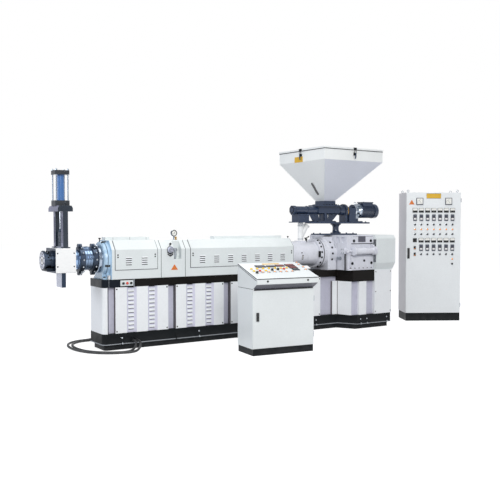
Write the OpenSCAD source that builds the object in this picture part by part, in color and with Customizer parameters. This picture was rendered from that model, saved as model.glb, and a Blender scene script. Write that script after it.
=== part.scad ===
// Plastic pelletizing machine: a single-screw extruder on its base, with a hydraulic screen changer and
// a pelletizing die at the left end, a screw feeder under a square hopper over the gearbox end, and its
// own control desk and power cabinet. X runs along the machine, the front is at -Y, the floor is Z 0,
// and the origin is on the floor under the barrel axis.

/* [Base] */
// Distance from the origin to the left end of the base
base_left = 1840; // [1700:10:2000]
// Length of the slanted change from the narrow to the wide part
slant_l = 145; // [60:5:250]
// Length of the same change above the plinth
upper_slant_l = 80; // [40:5:200]
// Length of the wide part under the gearbox and the belt guard
wide_l = 655; // [600:5:800]
// Width of the narrow part
narrow_w = 460; // [420:5:560]
// Width of the wide part
wide_w = 980; // [900:5:1200]
// Radius of the two corners at the left end
corner_r = 50; // [20:5:100]
// Height of the black plinth
plinth_h = 202; // [160:2:260]
// Height of the set-back foot of the plinth
foot_h = 70; // [40:2:100]
// How far the foot is set back
foot_inset = 35; // [10:5:60]
// Underside of the long top beam
beam_z0 = 755; // [700:5:780]
// Top of the long top beam
beam_z1 = 850; // [820:5:900]
// Underside of the gearbox beam
wide_beam_z0 = 688; // [640:2:720]
// Depth from the panel faces to the core behind them
panel_t = 50; // [40:2:70]

/* [Side panels] */
// Number of panels along the narrow part
panel_count = 4; // [4:1:4]
// Distance from the last panel's space to the end of the narrow part
panel_end = 212; // [180:2:240]
// Width of one panel
panel_w = 698; // [640:2:720]
// Distance from the left end of the base to the first panel
panel_start = 157; // [140:1:200]
// Width of a pressed-in louvre strip
strip_w = 130; // [100:2:150]
// Depth of a louvre strip
strip_d = 25; // [10:1:35]
// Width of the slanted sides of a strip
strip_slant = 28; // [10:1:40]
// Number of louvres in a strip
louvre_count = 10; // [4:1:12]
// Height of one louvre
louvre_h = 14; // [8:1:20]
// How far a louvre stands out
louvre_out = 9; // [4:1:12]

/* [Barrel line] */
// Height of the barrel axis above the floor
axis_z = 1090; // [1080:2:1120]
// Distance from the left end of the base to the hoods
hood_start = 119; // [100:1:160]
// Length of the front hood
front_hood_l = 645; // [600:5:700]
// Length of the vent hood
vent_hood_l = 334; // [300:2:380]
// Length of the rear hood
rear_hood_l = 1697; // [1600:5:1760]
// Width of the hoods
hood_w = 450; // [420:5:460]
// Height where the hood sides turn inward
hood_shoulder_z = 1205; // [1180:5:1230]
// Top of the hoods
hood_top_z = 1313; // [1290:2:1330]
// Width of the flat top of the hoods
hood_flat_w = 270; // [240:5:320]
// Distance from the vent hood's left end to its vent port
vent_port_at = 123; // [100:1:130]
// Height of the vent port
vent_port_z = 1194; // [1160:2:1200]
// Radius of the vent port
vent_port_r = 42; // [30:1:50]
// Distance from the vent hood's left end to its alcove
alcove_at = 176; // [170:1:200]
// Width of the alcove
alcove_w = 102; // [80:1:110]
// Bottom of the alcove
alcove_z = 1075; // [1040:5:1120]
// Depth of the alcove
alcove_d = 80; // [40:5:100]
// Radius of the pressure gauge
gauge_r = 40; // [30:1:46]
// Distance from the hood floor to the hood doors
door_rise = 115; // [90:5:140]
// Width of the cable duct
duct_w = 110; // [80:5:120]
// Height of the cable duct
duct_h = 40; // [20:2:60]
// Thickness of the hood doors
door_t = 6; // [4:1:10]
// Length of the bell cover
bell_l = 84; // [60:2:110]
// Width of the groove round the bell cover
bell_groove = 6; // [3:1:12]
// Radius of the bell cover
bell_r = 222; // [200:2:235]
// Thickness of the barrel flange
flange_t = 45; // [30:1:60]
// Radius of the barrel flange
flange_r = 165; // [150:1:180]
// Length of each clamp ring
clamp_l = 62; // [40:1:80]
// Radius of the clamp rings
clamp_r = 150; // [138:1:155]
// Length of the adapter between the clamp rings
adapter_l = 96; // [60:1:140]
// Depth of the grooves between the heater bands
band_groove = 6; // [2:1:12]
// Half width of the clamp lugs
lug_r = 30; // [20:1:40]
// Radius of the melt channel
channel_r = 42; // [30:1:48]
// Radius of the adapter
adapter_r = 130; // [115:1:134]
// Length of the neck behind the screen changer
neck_l = 74; // [40:1:100]
// Radius of the neck
neck_r = 105; // [90:1:112]

/* [Screen changer] */
// Length of the screen changer block along the barrel
block_l = 237; // [200:1:280]
// Depth of the block across the barrel
block_w = 370; // [350:2:420]
// Height of the block
block_h = 285; // [270:1:320]
// Thickness of the slide plate
slide_t = 50; // [36:1:60]
// Width of the slide plate
slide_w = 200; // [160:2:206]
// Length of the slide plate
slide_l = 475; // [465:5:500]
// How far the slide plate stands out under the block at rest
slide_out = 175; // [170:1:180]
// Radius of the holes in the breaker plate
breaker_hole_r = 5; // [3:0.5:6]
// Thickness of the breaker plate
breaker_t = 12; // [8:1:20]
// Edge chamfer of the block
block_edge = 5; // [2:1:10]
// Running gap round the slide plate
slide_gap = 0.3; // [0.2:0.1:1]
// Travel of the slide plate
slide_travel = 160; // [100:5:165]
// Length of the die head
die_l = 103; // [80:1:140]
// Radius of the die head
die_r = 115; // [105:1:125]
// Thickness of the two die flanges
die_flange_t = 24; // [14:1:34]
// Radius of the die body between its flanges
die_body_r = 98; // [94:1:104]
// Thickness of the saddle under the die
saddle_t = 36; // [20:1:50]
// Radius of the die outlet
die_bore_r = 22; // [10:1:30]
// Pitch circle diameter of the die face holes
die_pcd = 176; // [150:2:190]
// Radius of the die face holes
die_hole_r = 8; // [5:0.5:10]
// Radius of the hydraulic cylinder tube
cyl_r = 43; // [35:1:50]
// Length of the cylinder tube
cyl_l = 300; // [260:5:340]
// Side of the square cylinder head
cap_w = 169; // [150:1:180]
// Height of the upper cylinder head
cap_h = 50; // [40:1:70]
// Height of the lower cylinder head
lower_cap_h = 62; // [40:1:80]
// Height of the yoke plate
yoke_h = 68; // [50:1:90]
// Depth of the yoke plate
yoke_w = 360; // [356:2:400]
// Distance from the block to the yoke plate
bar_l = 425; // [415:5:470]
// Size of a side bar along the barrel
bar_x = 60; // [40:1:80]
// Size of a side bar across the barrel
bar_y = 70; // [40:1:72]
// Radius of the piston rod
rod_r = 14; // [8:0.5:18]
// Thickness of the foot under each side bar
bar_foot_t = 14; // [8:1:24]
// Thickness of the rod coupling along the barrel
coupling_t = 34; // [24:1:46]
// Height of the rod coupling
coupling_h = 210; // [180:5:220]
// Width of the rod coupling
coupling_w = 110; // [80:1:130]

/* [Drive] */
// Length of the feed barrel between the rear hood and the throat housing
feed_l = 605; // [580:5:640]
// Radius of the feed barrel
feed_r = 177; // [165:1:190]
// Length of the throat housing
throat_l = 190; // [150:5:230]
// Radius of the throat housing
throat_r = 228; // [215:1:232]
// Length of the gearbox
gearbox_l = 480; // [440:5:520]
// Width of the gearbox
gearbox_w = 880; // [800:5:940]
// Top of the gearbox
gearbox_top_z = 1355; // [1340:5:1380]
// Length of the belt guard
guard_l = 350; // [320:5:380]
// Width of the upper belt guard
guard_w = 1060; // [1000:5:1100]
// Height where the belt guard begins to overhang
guard_low_z = 947; // [920:1:980]
// Chamfer along the top of the belt guard
guard_chamfer = 50; // [30:1:70]
// Height of the gearbox foot flange
gear_foot_h = 26; // [16:1:40]
// How far the gearbox foot, band and lower panel stand out
gear_foot_out = 22; // [12:1:32]
// How far the stiffening ribs at the gearbox's corner stand out
gear_rib_out = 12; // [6:1:20]
// How far the upper band of the gearbox stands out
gear_band_out = 16; // [8:1:24]
// Depth of the four pockets in the gearbox end
pocket_d = 30; // [10:1:50]
// Distance from the gearbox end to its front band
band_inset = 72; // [60:1:90]
// Height of the oil cooler axis
cooler_z = 1128; // [1110:2:1150]
// Radius of the oil cooler tube
cooler_r = 62; // [40:1:70]

/* [Feeder and hopper] */
// Height of the feeder screw axis
feeder_z = 1715; // [1700:5:1740]
// Distance from the gearbox face back to the hopper axis
hopper_back = 55; // [40:1:70]
// Distance from the gearbox face to the end of the screw housing
screw_end = 200; // [190:2:220]
// Length of the cone behind the screw housing
screw_cone_l = 74; // [60:1:90]
// Length of the gear case
case_l = 128; // [110:2:150]
// Distance from the guard disc's face to the gear case
case_back = 60; // [50:1:80]
// Length of the motor adapter
motor_adapter_l = 114; // [100:1:130]
// Distance from the gearbox face back to the feeder chute
chute_back = 510; // [480:5:540]
// Radius of the drop tube
drop_r = 38; // [30:1:45]
// Wall of the drop tube
drop_wall = 4; // [2:0.5:8]
// Radius of the feeder screw housing
feeder_r = 56; // [48:1:62]
// Side of the feeder chute
chute_w = 190; // [170:2:210]
// Side of the flange under the feeder chute
chute_flange = 240; // [220:2:246]
// Length of the lower feeder plate
lower_plate_l = 720; // [680:5:760]
// Width of the lower feeder plate
lower_plate_w = 200; // [160:5:240]
// Thickness of the lower feeder plate
lower_plate_t = 20; // [12:1:30]
// Radius of the coupling guard disc
guard_disc_r = 100; // [90:1:110]
// Thickness of the feeder base plate
feeder_plate_t = 22; // [12:1:30]
// Length of the feeder base plate
feeder_plate_l = 1150; // [1100:5:1200]
// Width of the feeder base plate
feeder_plate_w = 240; // [200:5:280]
// Top of the feeder base plate
feeder_plate_z = 1545; // [1535:1:1555]
// Radius of the feeder motor
motor_r = 110; // [90:1:125]
// Length of the feeder motor
motor_l = 345; // [300:5:380]
// Side of the square hopper
hopper_w = 1074; // [900:2:1200]
// Side of the hopper outlet
outlet_w = 196; // [170:2:220]
// How far the hopper leans off its outlet
hopper_shift = 92; // [0:2:140]
// Height of the hopper cone
cone_h = 558; // [480:2:640]
// Height of the upright hopper rim
rim_h = 150; // [100:2:200]
// Wall of the hopper
hopper_wall = 5; // [3:0.5:10]
// How far the lid overhangs the rim
lid_over = 6; // [2:1:12]
// Gap between the rim and the lid's hem
lid_seam = 6; // [3:1:10]
// Thickness of the hopper lid
lid_t = 30; // [16:1:40]

/* [Control desk] */
// Width of the desk
desk_w = 814; // [700:2:900]
// Depth of the desk box
desk_d = 400; // [360:2:450]
// Height of the desk plinth
desk_plinth_h = 78; // [50:1:100]
// Height of the lower box of the desk
desk_box_z = 770; // [740:2:800]
// Height of the front edge of the sloping lid
desk_front_z = 895; // [880:1:920]
// Height of the back edge of the sloping lid
desk_back_z = 1045; // [1020:1:1080]
// How far the sloping lid reaches forward
desk_lip = 93; // [60:1:110]
// Wall of the desk
desk_wall = 12; // [6:1:20]

/* [Power cabinet] */
// Width of the cabinet
cab_w = 863; // [700:1:1000]
// Depth of the cabinet
cab_d = 450; // [350:5:600]
// Height of the cabinet
cab_h = 2010; // [1800:5:2200]
// Height of the cabinet plinth
cab_plinth_h = 122; // [80:1:150]
// Wall of the cabinet
cab_wall = 15; // [8:1:25]
// Thickness of the doors
leaf_t = 18; // [10:1:25]

/* [Hidden] */
$fn = 64;
eps = 0.01;

base_x0 = -base_left;
hood_x0 = base_x0 + hood_start;
vent_x0 = hood_x0 + front_hood_l;
rear_hood_x0 = vent_x0 + vent_hood_l;
rear_hood_x1 = rear_hood_x0 + rear_hood_l;
throat_x0 = rear_hood_x1 + feed_l;
gearbox_x0 = throat_x0 + throat_l;
narrow_x1 = gearbox_x0 - 5;
wide_x0 = narrow_x1 + slant_l;
wide_x1 = wide_x0 + wide_l;
narrow_l = narrow_x1 - base_x0;
panel_pitch = (narrow_l - panel_start - panel_end) / panel_count;
bell_x0 = hood_x0 - bell_l;
flange_x0 = bell_x0 - flange_t;
rear_clamp_x0 = flange_x0 - clamp_l;
adapter_x0 = rear_clamp_x0 - adapter_l;
front_clamp_x0 = adapter_x0 - clamp_l;
neck_x0 = front_clamp_x0 - neck_l;
block_x0 = neck_x0 - block_l;
die_x0 = block_x0 - die_l;
block_x = block_x0 + block_l / 2;
block_z0 = axis_z - block_h / 2;
block_z1 = axis_z + block_h / 2;
gearbox_x1 = gearbox_x0 + gearbox_l;
guard_x0 = gearbox_x1 + 20;
gearbox_z0 = beam_z1;
slide_z0 = block_z0 - slide_out;
slide_z1 = slide_z0 + slide_l;
bar_off = yoke_w / 2 - bar_y / 2 - 2;
yoke_z0 = block_z1 + bar_l;
yoke_z1 = yoke_z0 + yoke_h;
tube_z0 = yoke_z1 + lower_cap_h;
tube_z1 = tube_z0 + cyl_l;
chute_x = gearbox_x0 - chute_back;
wide_flat_x = narrow_x1 + 195;
wide_flat_w = 140;
gland_x = [-1425, -1470];
gland_z = 112;
gland_r = 22;
gland_out = 22;
hose_d = 28;
seat_gap = 0.3;
leaf_gap = 3;
hinge_r = 6;
hinge_out = 4;
knuckle_h = 30;
lid_hinge_drop = 10;

// Outline of the base seen from above, drawn in by a given distance, with a slant of a given length
module base_plan(inset, slant) {
  w = narrow_w / 2 - inset;
  ww = wide_w / 2 - inset;
  x0 = base_x0 + inset;
  x1 = wide_x1 - inset;
  wx = narrow_x1 + slant;
  polygon([
    [x0 + corner_r, -w], [narrow_x1, -w], [wx, -ww], [x1, -ww],
    [x1, ww], [wx, ww], [narrow_x1, w], [x0 + corner_r, w]
  ]);
  translate([x0, -w + corner_r]) square([corner_r + 1, 2 * (w - corner_r)]);
  for (side = [-1, 1]) translate([x0 + corner_r, side * (w - corner_r)]) circle(r = corner_r);
}

// Stretch of a base outline between two places along the machine
module plan_between(x0, x1) {
  intersection() {
    children();
    translate([x0, -wide_w]) square([x1 - x0, 2 * wide_w]);
  }
}

module base_plinth() {
  color("#23282b") {
    linear_extrude(foot_h + 1) base_plan(foot_inset, slant_l);
    translate([0, 0, foot_h]) linear_extrude(plinth_h - foot_h) base_plan(0, slant_l);
    for (x = gland_x) translate([x, 0, gland_z]) rotate([90, 0, 0])
      cylinder(r = gland_r, h = narrow_w + 2 * gland_out, center = true);
  }
}

core_x0 = base_x0 + 90;
module base_core() {
  color("#a9a8c2") {
    translate([0, 0, plinth_h]) linear_extrude(beam_z0 - plinth_h)
      plan_between(core_x0, narrow_x1) base_plan(panel_t, upper_slant_l);
    translate([0, 0, plinth_h]) linear_extrude(wide_beam_z0 - plinth_h)
      plan_between(narrow_x1 - eps, gearbox_x1) base_plan(panel_t, upper_slant_l);
  }
}

module base_end_cover() {
  color("#dfe3ec")
    translate([0, 0, plinth_h]) linear_extrude(beam_z0 - plinth_h) difference() {
      plan_between(base_x0, base_x0 + 60) base_plan(2, upper_slant_l);
      plan_between(base_x0 + 40, base_x0 + 61) base_plan(14, upper_slant_l);
    }
}

// Plan of one panel: three flats with two pressed-in strips between them
module panel_plan() {
  flat = (panel_w - 2 * strip_w) / 3;
  pitch = flat + strip_w;
  a = [flat, flat + strip_slant, flat + strip_w - strip_slant, flat + strip_w];
  polygon([
    [0, 0], [a[0], 0], [a[1], strip_d], [a[2], strip_d], [a[3], 0],
    [pitch + a[0], 0], [pitch + a[1], strip_d], [pitch + a[2], strip_d], [pitch + a[3], 0],
    [panel_w, 0], [panel_w, panel_t], [0, panel_t]
  ]);
}

// One louvre: a pressed hood, open downward
module louvre(w, h, out) {
  rotate([90, 0, 90]) linear_extrude(w) polygon([[eps, h], [-out, h * 0.25], [-out, 0], [eps, 0]]);
}

module side_panel() {
  flat = (panel_w - 2 * strip_w) / 3;
  pitch = flat + strip_w;
  h = beam_z0 - plinth_h;
  lou_w = strip_w - 2 * strip_slant - 12;
  lou_pitch = h / (louvre_count + 4);
  color("#dcdfe9") {
    linear_extrude(h) panel_plan();
    for (s = [0, 1], i = [0 : louvre_count - 1])
      translate([flat + s * pitch + (strip_w - lou_w) / 2, strip_d, h - (i + 3) * lou_pitch])
        louvre(lou_w, louvre_h, louvre_out);
  }
}

module front_panel(i) {
  translate([base_x0 + panel_start + i * panel_pitch, -narrow_w / 2, plinth_h]) side_panel();
}

module rear_panels() {
  for (i = [0 : panel_count - 1])
    translate([base_x0 + panel_start + i * panel_pitch, narrow_w / 2, plinth_h]) mirror([0, 1, 0])
      side_panel();
}

// Panels of the wide part, front and back: a slanted face, then a flat between two recesses
module gearbox_base_panels() {
  color("#dcdfe9") translate([0, 0, plinth_h]) linear_extrude(wide_beam_z0 - plinth_h)
    for (side = [-1, 1]) intersection() {
      difference() {
        base_plan(12, upper_slant_l);
        base_plan(panel_t, upper_slant_l);
      }
      union() {
        translate([narrow_x1 - 90, side * wide_w - wide_w]) square([90 + upper_slant_l - 8, 2 * wide_w]);
        translate([wide_flat_x, side * wide_w - wide_w]) square([wide_flat_w, 2 * wide_w]);
      }
    }
}

module top_beam() {
  color("#1d2022") {
    translate([0, 0, beam_z0]) linear_extrude(beam_z1 - beam_z0)
      plan_between(base_x0 - 1, narrow_x1 + 1) base_plan(0, upper_slant_l);
    translate([0, 0, wide_beam_z0]) linear_extrude(beam_z1 - wide_beam_z0)
      plan_between(narrow_x1, gearbox_x1) base_plan(10, upper_slant_l);
  }
}

module start_stop_plate() {
  l = 165;
  t = 8;
  pitch = 50;
  x0 = base_x0 + 220;
  face_y = -narrow_w / 2 - t;
  color("#d8dade") {
    translate([x0, face_y, beam_z0 + 14]) cube([l, t, 68]);
    for (i = [-1 : 1])
      translate([x0 + l / 2 + i * pitch, face_y + eps, beam_z0 + 48]) rotate([90, 0, 0])
        cylinder(r = 15, h = 12);
  }
}

// Cross-section of the hoods, in Y and Z
module hood_section(grow) {
  w = hood_w / 2 + grow;
  flat = hood_flat_w / 2 + grow;
  top = hood_top_z + grow;
  polygon([[-w, beam_z1], [w, beam_z1], [w, hood_shoulder_z], [flat, top], [-flat, top],
    [-w, hood_shoulder_z]]);
}

module along_x(x, l) {
  translate([x, 0, 0]) rotate([90, 0, 90]) linear_extrude(l) children();
}

module front_hood() { color("#dfe6e6") along_x(hood_x0, front_hood_l - 1) hood_section(0); }
module vent_hood() {
  color("#e6eaea") difference() {
    along_x(vent_x0, vent_hood_l) hood_section(0);
    translate([vent_x0 + alcove_at, -hood_w / 2 - 1, alcove_z]) cube([alcove_w, alcove_d + 1, hood_top_z]);
  }
}

module rear_hood() { color("#dfe6e6") along_x(rear_hood_x0 + 1, rear_hood_l - 1) hood_section(0); }

// Sheet door over the front face and the slope of a hood, with groups of slots
module hood_door(x, l, groups) {
  slot_l = 70;
  slot_h = 8;
  slot_pitch = 24;
  slot_z = 1065;
  color("#e4eaea") difference() {
    along_x(x, l) intersection() {
      difference() {
        hood_section(door_t);
        hood_section(0);
      }
      translate([-hood_w, beam_z1 + door_rise]) square([hood_w - hood_flat_w / 2, hood_top_z]);
    }
    for (g = groups, k = [0 : 3])
      translate([x + g - slot_l / 2, -hood_w / 2 - door_t - 1, slot_z + k * slot_pitch])
        cube([slot_l, door_t + 2, slot_h]);
  }
}

front_door_in = [44, 55];
rear_door_in = [77, 12];
rear_groups = 7;
front_door_l = front_hood_l - front_door_in[0] - front_door_in[1];
rear_door_l = rear_hood_l - rear_door_in[0] - rear_door_in[1];
module front_hood_door() {
  hood_door(hood_x0 + front_door_in[0], front_door_l, [155, 400]);
}

module rear_hood_door() {
  group_pitch = rear_door_l / (rear_groups + 0.1);
  hood_door(rear_hood_x0 + rear_door_in[0], rear_door_l,
    [for (i = [0 : rear_groups - 1]) group_pitch * (i + 0.55)]);
}

module cable_duct() {
  y = hood_flat_w / 2 - duct_w - 5;
  front_l = front_hood_l - 60;
  rear_l = rear_hood_l - 600;
  color("#cdd6da") {
    translate([hood_x0 + 10, y, hood_top_z]) cube([front_l, duct_w, duct_h]);
    translate([rear_hood_x1 - 40 - rear_l, y, hood_top_z]) cube([rear_l, duct_w, duct_h]);
  }
}

module vent_port() {
  color("#9aa2ab") translate([vent_x0 + vent_port_at, -hood_w / 2, vent_port_z]) rotate([90, 0, 0]) {
    cylinder(r = vent_port_r, h = 24);
    cylinder(r = vent_port_r - 10, h = 44);
  }
}

module pressure_gauge() {
  stem_h = 50;
  case_t = 26;
  color("#c9ccd0") translate([vent_x0 + 254, -60, hood_top_z]) {
    cylinder(r = 8, h = stem_h);
    translate([0, case_t / 2, stem_h + gauge_r - 5]) rotate([90, 0, 0]) cylinder(r = gauge_r, h = case_t);
  }
}

// Turned profile along the barrel axis: pairs of distance from x and radius
module lathe_x(x, profile) {
  last = profile[len(profile) - 1];
  translate([x, 0, axis_z]) rotate([0, 90, 0])
    rotate_extrude() polygon(concat([[0, 0]], [for (p = profile) [p[1], p[0]]], [[0, last[0]]]));
}

// Turned piece along the barrel axis
module turned(x, l, r) {
  translate([x, 0, axis_z]) rotate([0, 90, 0]) cylinder(r = r, h = l);
}

module bell_cover() {
  half = (bell_l - bell_groove) / 2;
  plate_t = 8;
  foot_l = half + bell_groove + 1;
  color("#c8dbe6") {
    lathe_x(bell_x0, [
      [0, bell_r - 28], [12, bell_r - 12], [half, bell_r - 8], [half, bell_r - 18],
      [half + bell_groove, bell_r - 18], [half + bell_groove, bell_r - 2], [bell_l, bell_r]
    ]);
    translate([hood_x0 - half, -bell_r * 0.7, beam_z1]) cube([half, bell_r * 1.4, axis_z - beam_z1]);
    along_x(hood_x0 - plate_t, plate_t) hood_section(3);
    translate([bell_x0, -115, beam_z1]) cube([foot_l, 230, 90]);
    translate([bell_x0, -160, beam_z1]) cube([foot_l, 320, 22]);
  }
}

module bolt_ring(x, l, pcd, n, r, start) {
  for (i = [0 : n - 1])
    translate([x, 0, axis_z]) rotate([start + i * 360 / n, 0, 0]) translate([0, 0, pcd / 2])
      rotate([0, 90, 0]) cylinder(r = r, h = l, $fn = 6);
}

module barrel_flange() {
  step = 14;
  head = 9;
  color("#8f98a3") lathe_x(flange_x0, [
    [0, flange_r - 6], [6, flange_r], [flange_t - 12, flange_r], [flange_t - 12, flange_r - step],
    [flange_t, flange_r - step]
  ]);
  color("#2b2f33") bolt_ring(flange_x0 - head, head + 1, 2 * flange_r - step, 12, 6, 15);
}

// Clamp ring in two halves: ears with a through bolt above and below, and screws round it
module clamp_ring(x) {
  ear_z = clamp_r + 8;
  ear_l = clamp_l - 16;
  edge = 6;
  color("#4a525c") {
    lathe_x(x, [[0, clamp_r - edge], [edge, clamp_r], [clamp_l - edge, clamp_r],
      [clamp_l, clamp_r - edge]]);
    for (s = [-1, 1]) translate([x + 8, 0, axis_z]) {
      translate([0, 0, s * ear_z]) rotate([0, 90, 0]) cylinder(r = lug_r, h = ear_l);
      translate([0, -lug_r, min(0, s) * ear_z]) cube([ear_l, 2 * lug_r, ear_z]);
    }
    for (s = [-1, 1]) translate([x + clamp_l / 2, 0, axis_z + s * (ear_z + 4)]) rotate([90, 0, 0]) {
      cylinder(r = 8, h = 2 * lug_r + 34, center = true);
      for (e = [-1, 1]) translate([0, 0, e * (lug_r + 8)]) cylinder(r = 15, h = 18, center = true, $fn = 6);
    }
    for (i = [1 : 5], s = [-1, 1])
      translate([x + clamp_l / 2, 0, axis_z]) rotate([s * i * 30, 0, 0]) translate([0, 0, clamp_r - 1])
        cylinder(r = 9, h = 12);
  }
}

module rear_clamp() { clamp_ring(rear_clamp_x0); }

// Three heater bands with grooves between them, under a strip of terminal bolts
module head_adapter() {
  band = (adapter_l - 2 * band_groove) / 3;
  pitch = band + band_groove;
  bolt_n = 5;
  strip_w2 = 22;
  color("#7d8894") {
    turned(adapter_x0, adapter_l, adapter_r - band_groove);
    for (i = [0 : 2]) turned(adapter_x0 + i * pitch, band, adapter_r);
    translate([adapter_x0, -strip_w2, axis_z + adapter_r - 8]) cube([adapter_l, 2 * strip_w2, 16]);
    for (i = [0 : bolt_n - 1])
      translate([adapter_x0 + (i + 0.5) * adapter_l / bolt_n, 0, axis_z + adapter_r + 8 - eps])
        rotate([0, 0, 30]) cylinder(r = 9, h = 13, $fn = 6);
  }
}

module front_clamp() { clamp_ring(front_clamp_x0); }

// Block with chamfered edges, bored for the melt and cut through for the slide plate
module screen_block() {
  w = block_w / 2;
  c = block_edge;
  rim = 12;
  screw_r = 8.5;
  color("#eef1f1") difference() {
    union() {
      along_x(block_x0, block_l) polygon([
        [-w + c, block_z0], [w - c, block_z0], [w, block_z0 + c], [w, block_z1 - c],
        [w - c, block_z1], [-w + c, block_z1], [-w, block_z1 - c], [-w, block_z0 + c]
      ]);
      lathe_x(block_x0 + block_l - eps, [
        [0, neck_r], [neck_l - 22, neck_r], [neck_l - 16, neck_r + rim], [neck_l, neck_r + rim]
      ]);
    }
    translate([block_x - slide_t / 2 - slide_gap, -slide_w / 2 - slide_gap, block_z0 - 1])
      cube([slide_t + 2 * slide_gap, slide_w + 2 * slide_gap, block_h + 2]);
    turned(block_x0 - 1, block_l + neck_l - 20, channel_r);
    for (sx = [-1, 1], z = [block_z0 + 74, block_z1 - 58], sy = [-1, 1])
      translate([block_x + sx * (block_l / 2 - 22), sy * (w - 5), z]) rotate([90, 0, 0])
        cylinder(r = screw_r, h = 12, center = true);
  }
}

// Die between two flanges, on a saddle: a nozzle at its middle, with a ring of holes round it
module die_head() {
  f = die_flange_t;
  nozzle_l = 60;
  saddle_w = 200;
  sink = 28;
  color("#5d6773") difference() {
    union() {
      lathe_x(die_x0, [
        [0, die_r - 5], [5, die_r], [f, die_r], [f, die_body_r],
        [die_l - f, die_body_r], [die_l - f, die_r], [die_l, die_r]
      ]);
      translate([die_x0 + f, -saddle_w / 2, axis_z - die_r - saddle_t + sink])
        cube([die_l - f, saddle_w, saddle_t]);
    }
    turned(die_x0 - 1, nozzle_l, die_bore_r);
    turned(die_x0 + nozzle_l - 1 - eps, die_l - nozzle_l + 2, channel_r);
    for (i = [0 : 7])
      translate([die_x0 - 1, 0, axis_z]) rotate([22.5 + i * 45, 0, 0]) translate([0, 0, die_pcd / 2])
        rotate([0, 90, 0]) cylinder(r = die_hole_r, h = 31);
  }
}

// Plate with a screen pocket on each side and a drilled breaker plate between them
module slide_plate() {
  pocket = (slide_t - breaker_t) / 2;
  pitch = 2.9 * breaker_hole_r;
  color("#b9b9c6") difference() {
    translate([block_x - slide_t / 2, -slide_w / 2, slide_z0]) cube([slide_t, slide_w, slide_l]);
    for (x = [block_x - slide_t / 2 - 1, block_x + slide_t / 2 - pocket]) turned(x, pocket + 1, channel_r);
    for (ring = [0 : 2], k = [0 : max(0, 6 * ring - 1)])
      translate([block_x, 0, axis_z]) rotate([k * 60 / max(ring, 1), 0, 0]) translate([0, 0, ring * pitch])
        rotate([0, 90, 0]) cylinder(r = breaker_hole_r, h = breaker_t + 2, center = true);
  }
}

// Coupling bolted over the slide plate's top, with a collar and a nut round the piston rod
module rod_coupling() {
  top = slide_z1 + coupling_h;
  nut_h = 18;
  collar_h = 22;
  bolt_hole_r = 9;
  slot_y = 32;
  slot_w = 10;
  slot_h = 70;
  rod_in = 40;
  body_h = coupling_h - nut_h - collar_h;
  color("#3a4350") difference() {
    union() {
      translate([block_x - coupling_t / 2, -coupling_w / 2, slide_z1])
        cube([coupling_t, coupling_w, body_h]);
      translate([block_x, 0, top - nut_h - collar_h - eps]) cylinder(r = coupling_t / 2 + 8, h = collar_h);
      translate([block_x, 0, top - nut_h - eps]) cylinder(r = coupling_t / 2, h = nut_h, $fn = 6);
    }
    for (z = [slide_z1 + 46, slide_z1 + body_h - 36])
      translate([block_x, 0, z]) rotate([0, 90, 0])
        cylinder(r = bolt_hole_r, h = coupling_t + 2, center = true);
    for (s = [-1, 1])
      translate([block_x - coupling_t, s * slot_y - slot_w / 2, slide_z1 + 26])
        cube([2 * coupling_t, slot_w, slot_h]);
  }
  color("#dfe6ea") translate([block_x, 0, top - eps]) cylinder(r = rod_r, h = yoke_z1 + rod_in - top);
}

// Square plan of a cylinder cap, with its corners cut
module cap_plan(c) {
  w = cap_w / 2;
  polygon([[-w + c, -w], [w - c, -w], [w, -w + c], [w, w - c], [w - c, w], [-w + c, w], [-w, w - c],
    [-w, -w + c]]);
}

// Tie-rod cylinder: a tube between two caps, four tie rods with nuts, and a port in each cap
module hydraulic_cylinder() {
  tie = cap_w / 2 - 16;
  tie_r = 8;
  nut_h = 12;
  ring_h = 12;
  port_x = 34;
  wall = 10;
  color("#23282e") translate([block_x, 0, 0]) {
    difference() {
      translate([0, 0, yoke_z1]) linear_extrude(lower_cap_h) cap_plan(8);
      translate([0, 0, yoke_z1 - 1]) cylinder(r = rod_r + seat_gap, h = lower_cap_h + 2);
    }
    translate([0, 0, tube_z1]) linear_extrude(cap_h) cap_plan(8);
  }
  color("#4f7fb8") translate([block_x, 0, 0]) difference() {
    union() {
      translate([0, 0, tube_z0 - eps]) cylinder(r = cyl_r, h = cyl_l + 2 * eps);
      for (z = [tube_z0 - eps, tube_z1 - ring_h]) translate([0, 0, z])
        cylinder(r = cyl_r + 7, h = ring_h + eps);
    }
    translate([0, 0, tube_z0 - 1]) cylinder(r = cyl_r - wall, h = cyl_l - wall);
  }
  color("#9aa4ad") translate([block_x, 0, 0]) {
    for (sx = [-1, 1], sy = [-1, 1]) translate([sx * tie, sy * tie, tube_z0 - eps]) {
      cylinder(r = tie_r, h = cyl_l + cap_h + nut_h + 8);
      translate([0, 0, cyl_l + cap_h]) cylinder(r = tie_r + 6, h = nut_h, $fn = 6);
    }
    for (z = [yoke_z1 + lower_cap_h / 2, tube_z1 + cap_h / 2])
      translate([port_x, -cap_w / 2 + eps, z]) rotate([90, 0, 0]) {
        cylinder(r = 17, h = 10);
        cylinder(r = 13, h = 26, $fn = 6);
      }
  }
}

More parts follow.
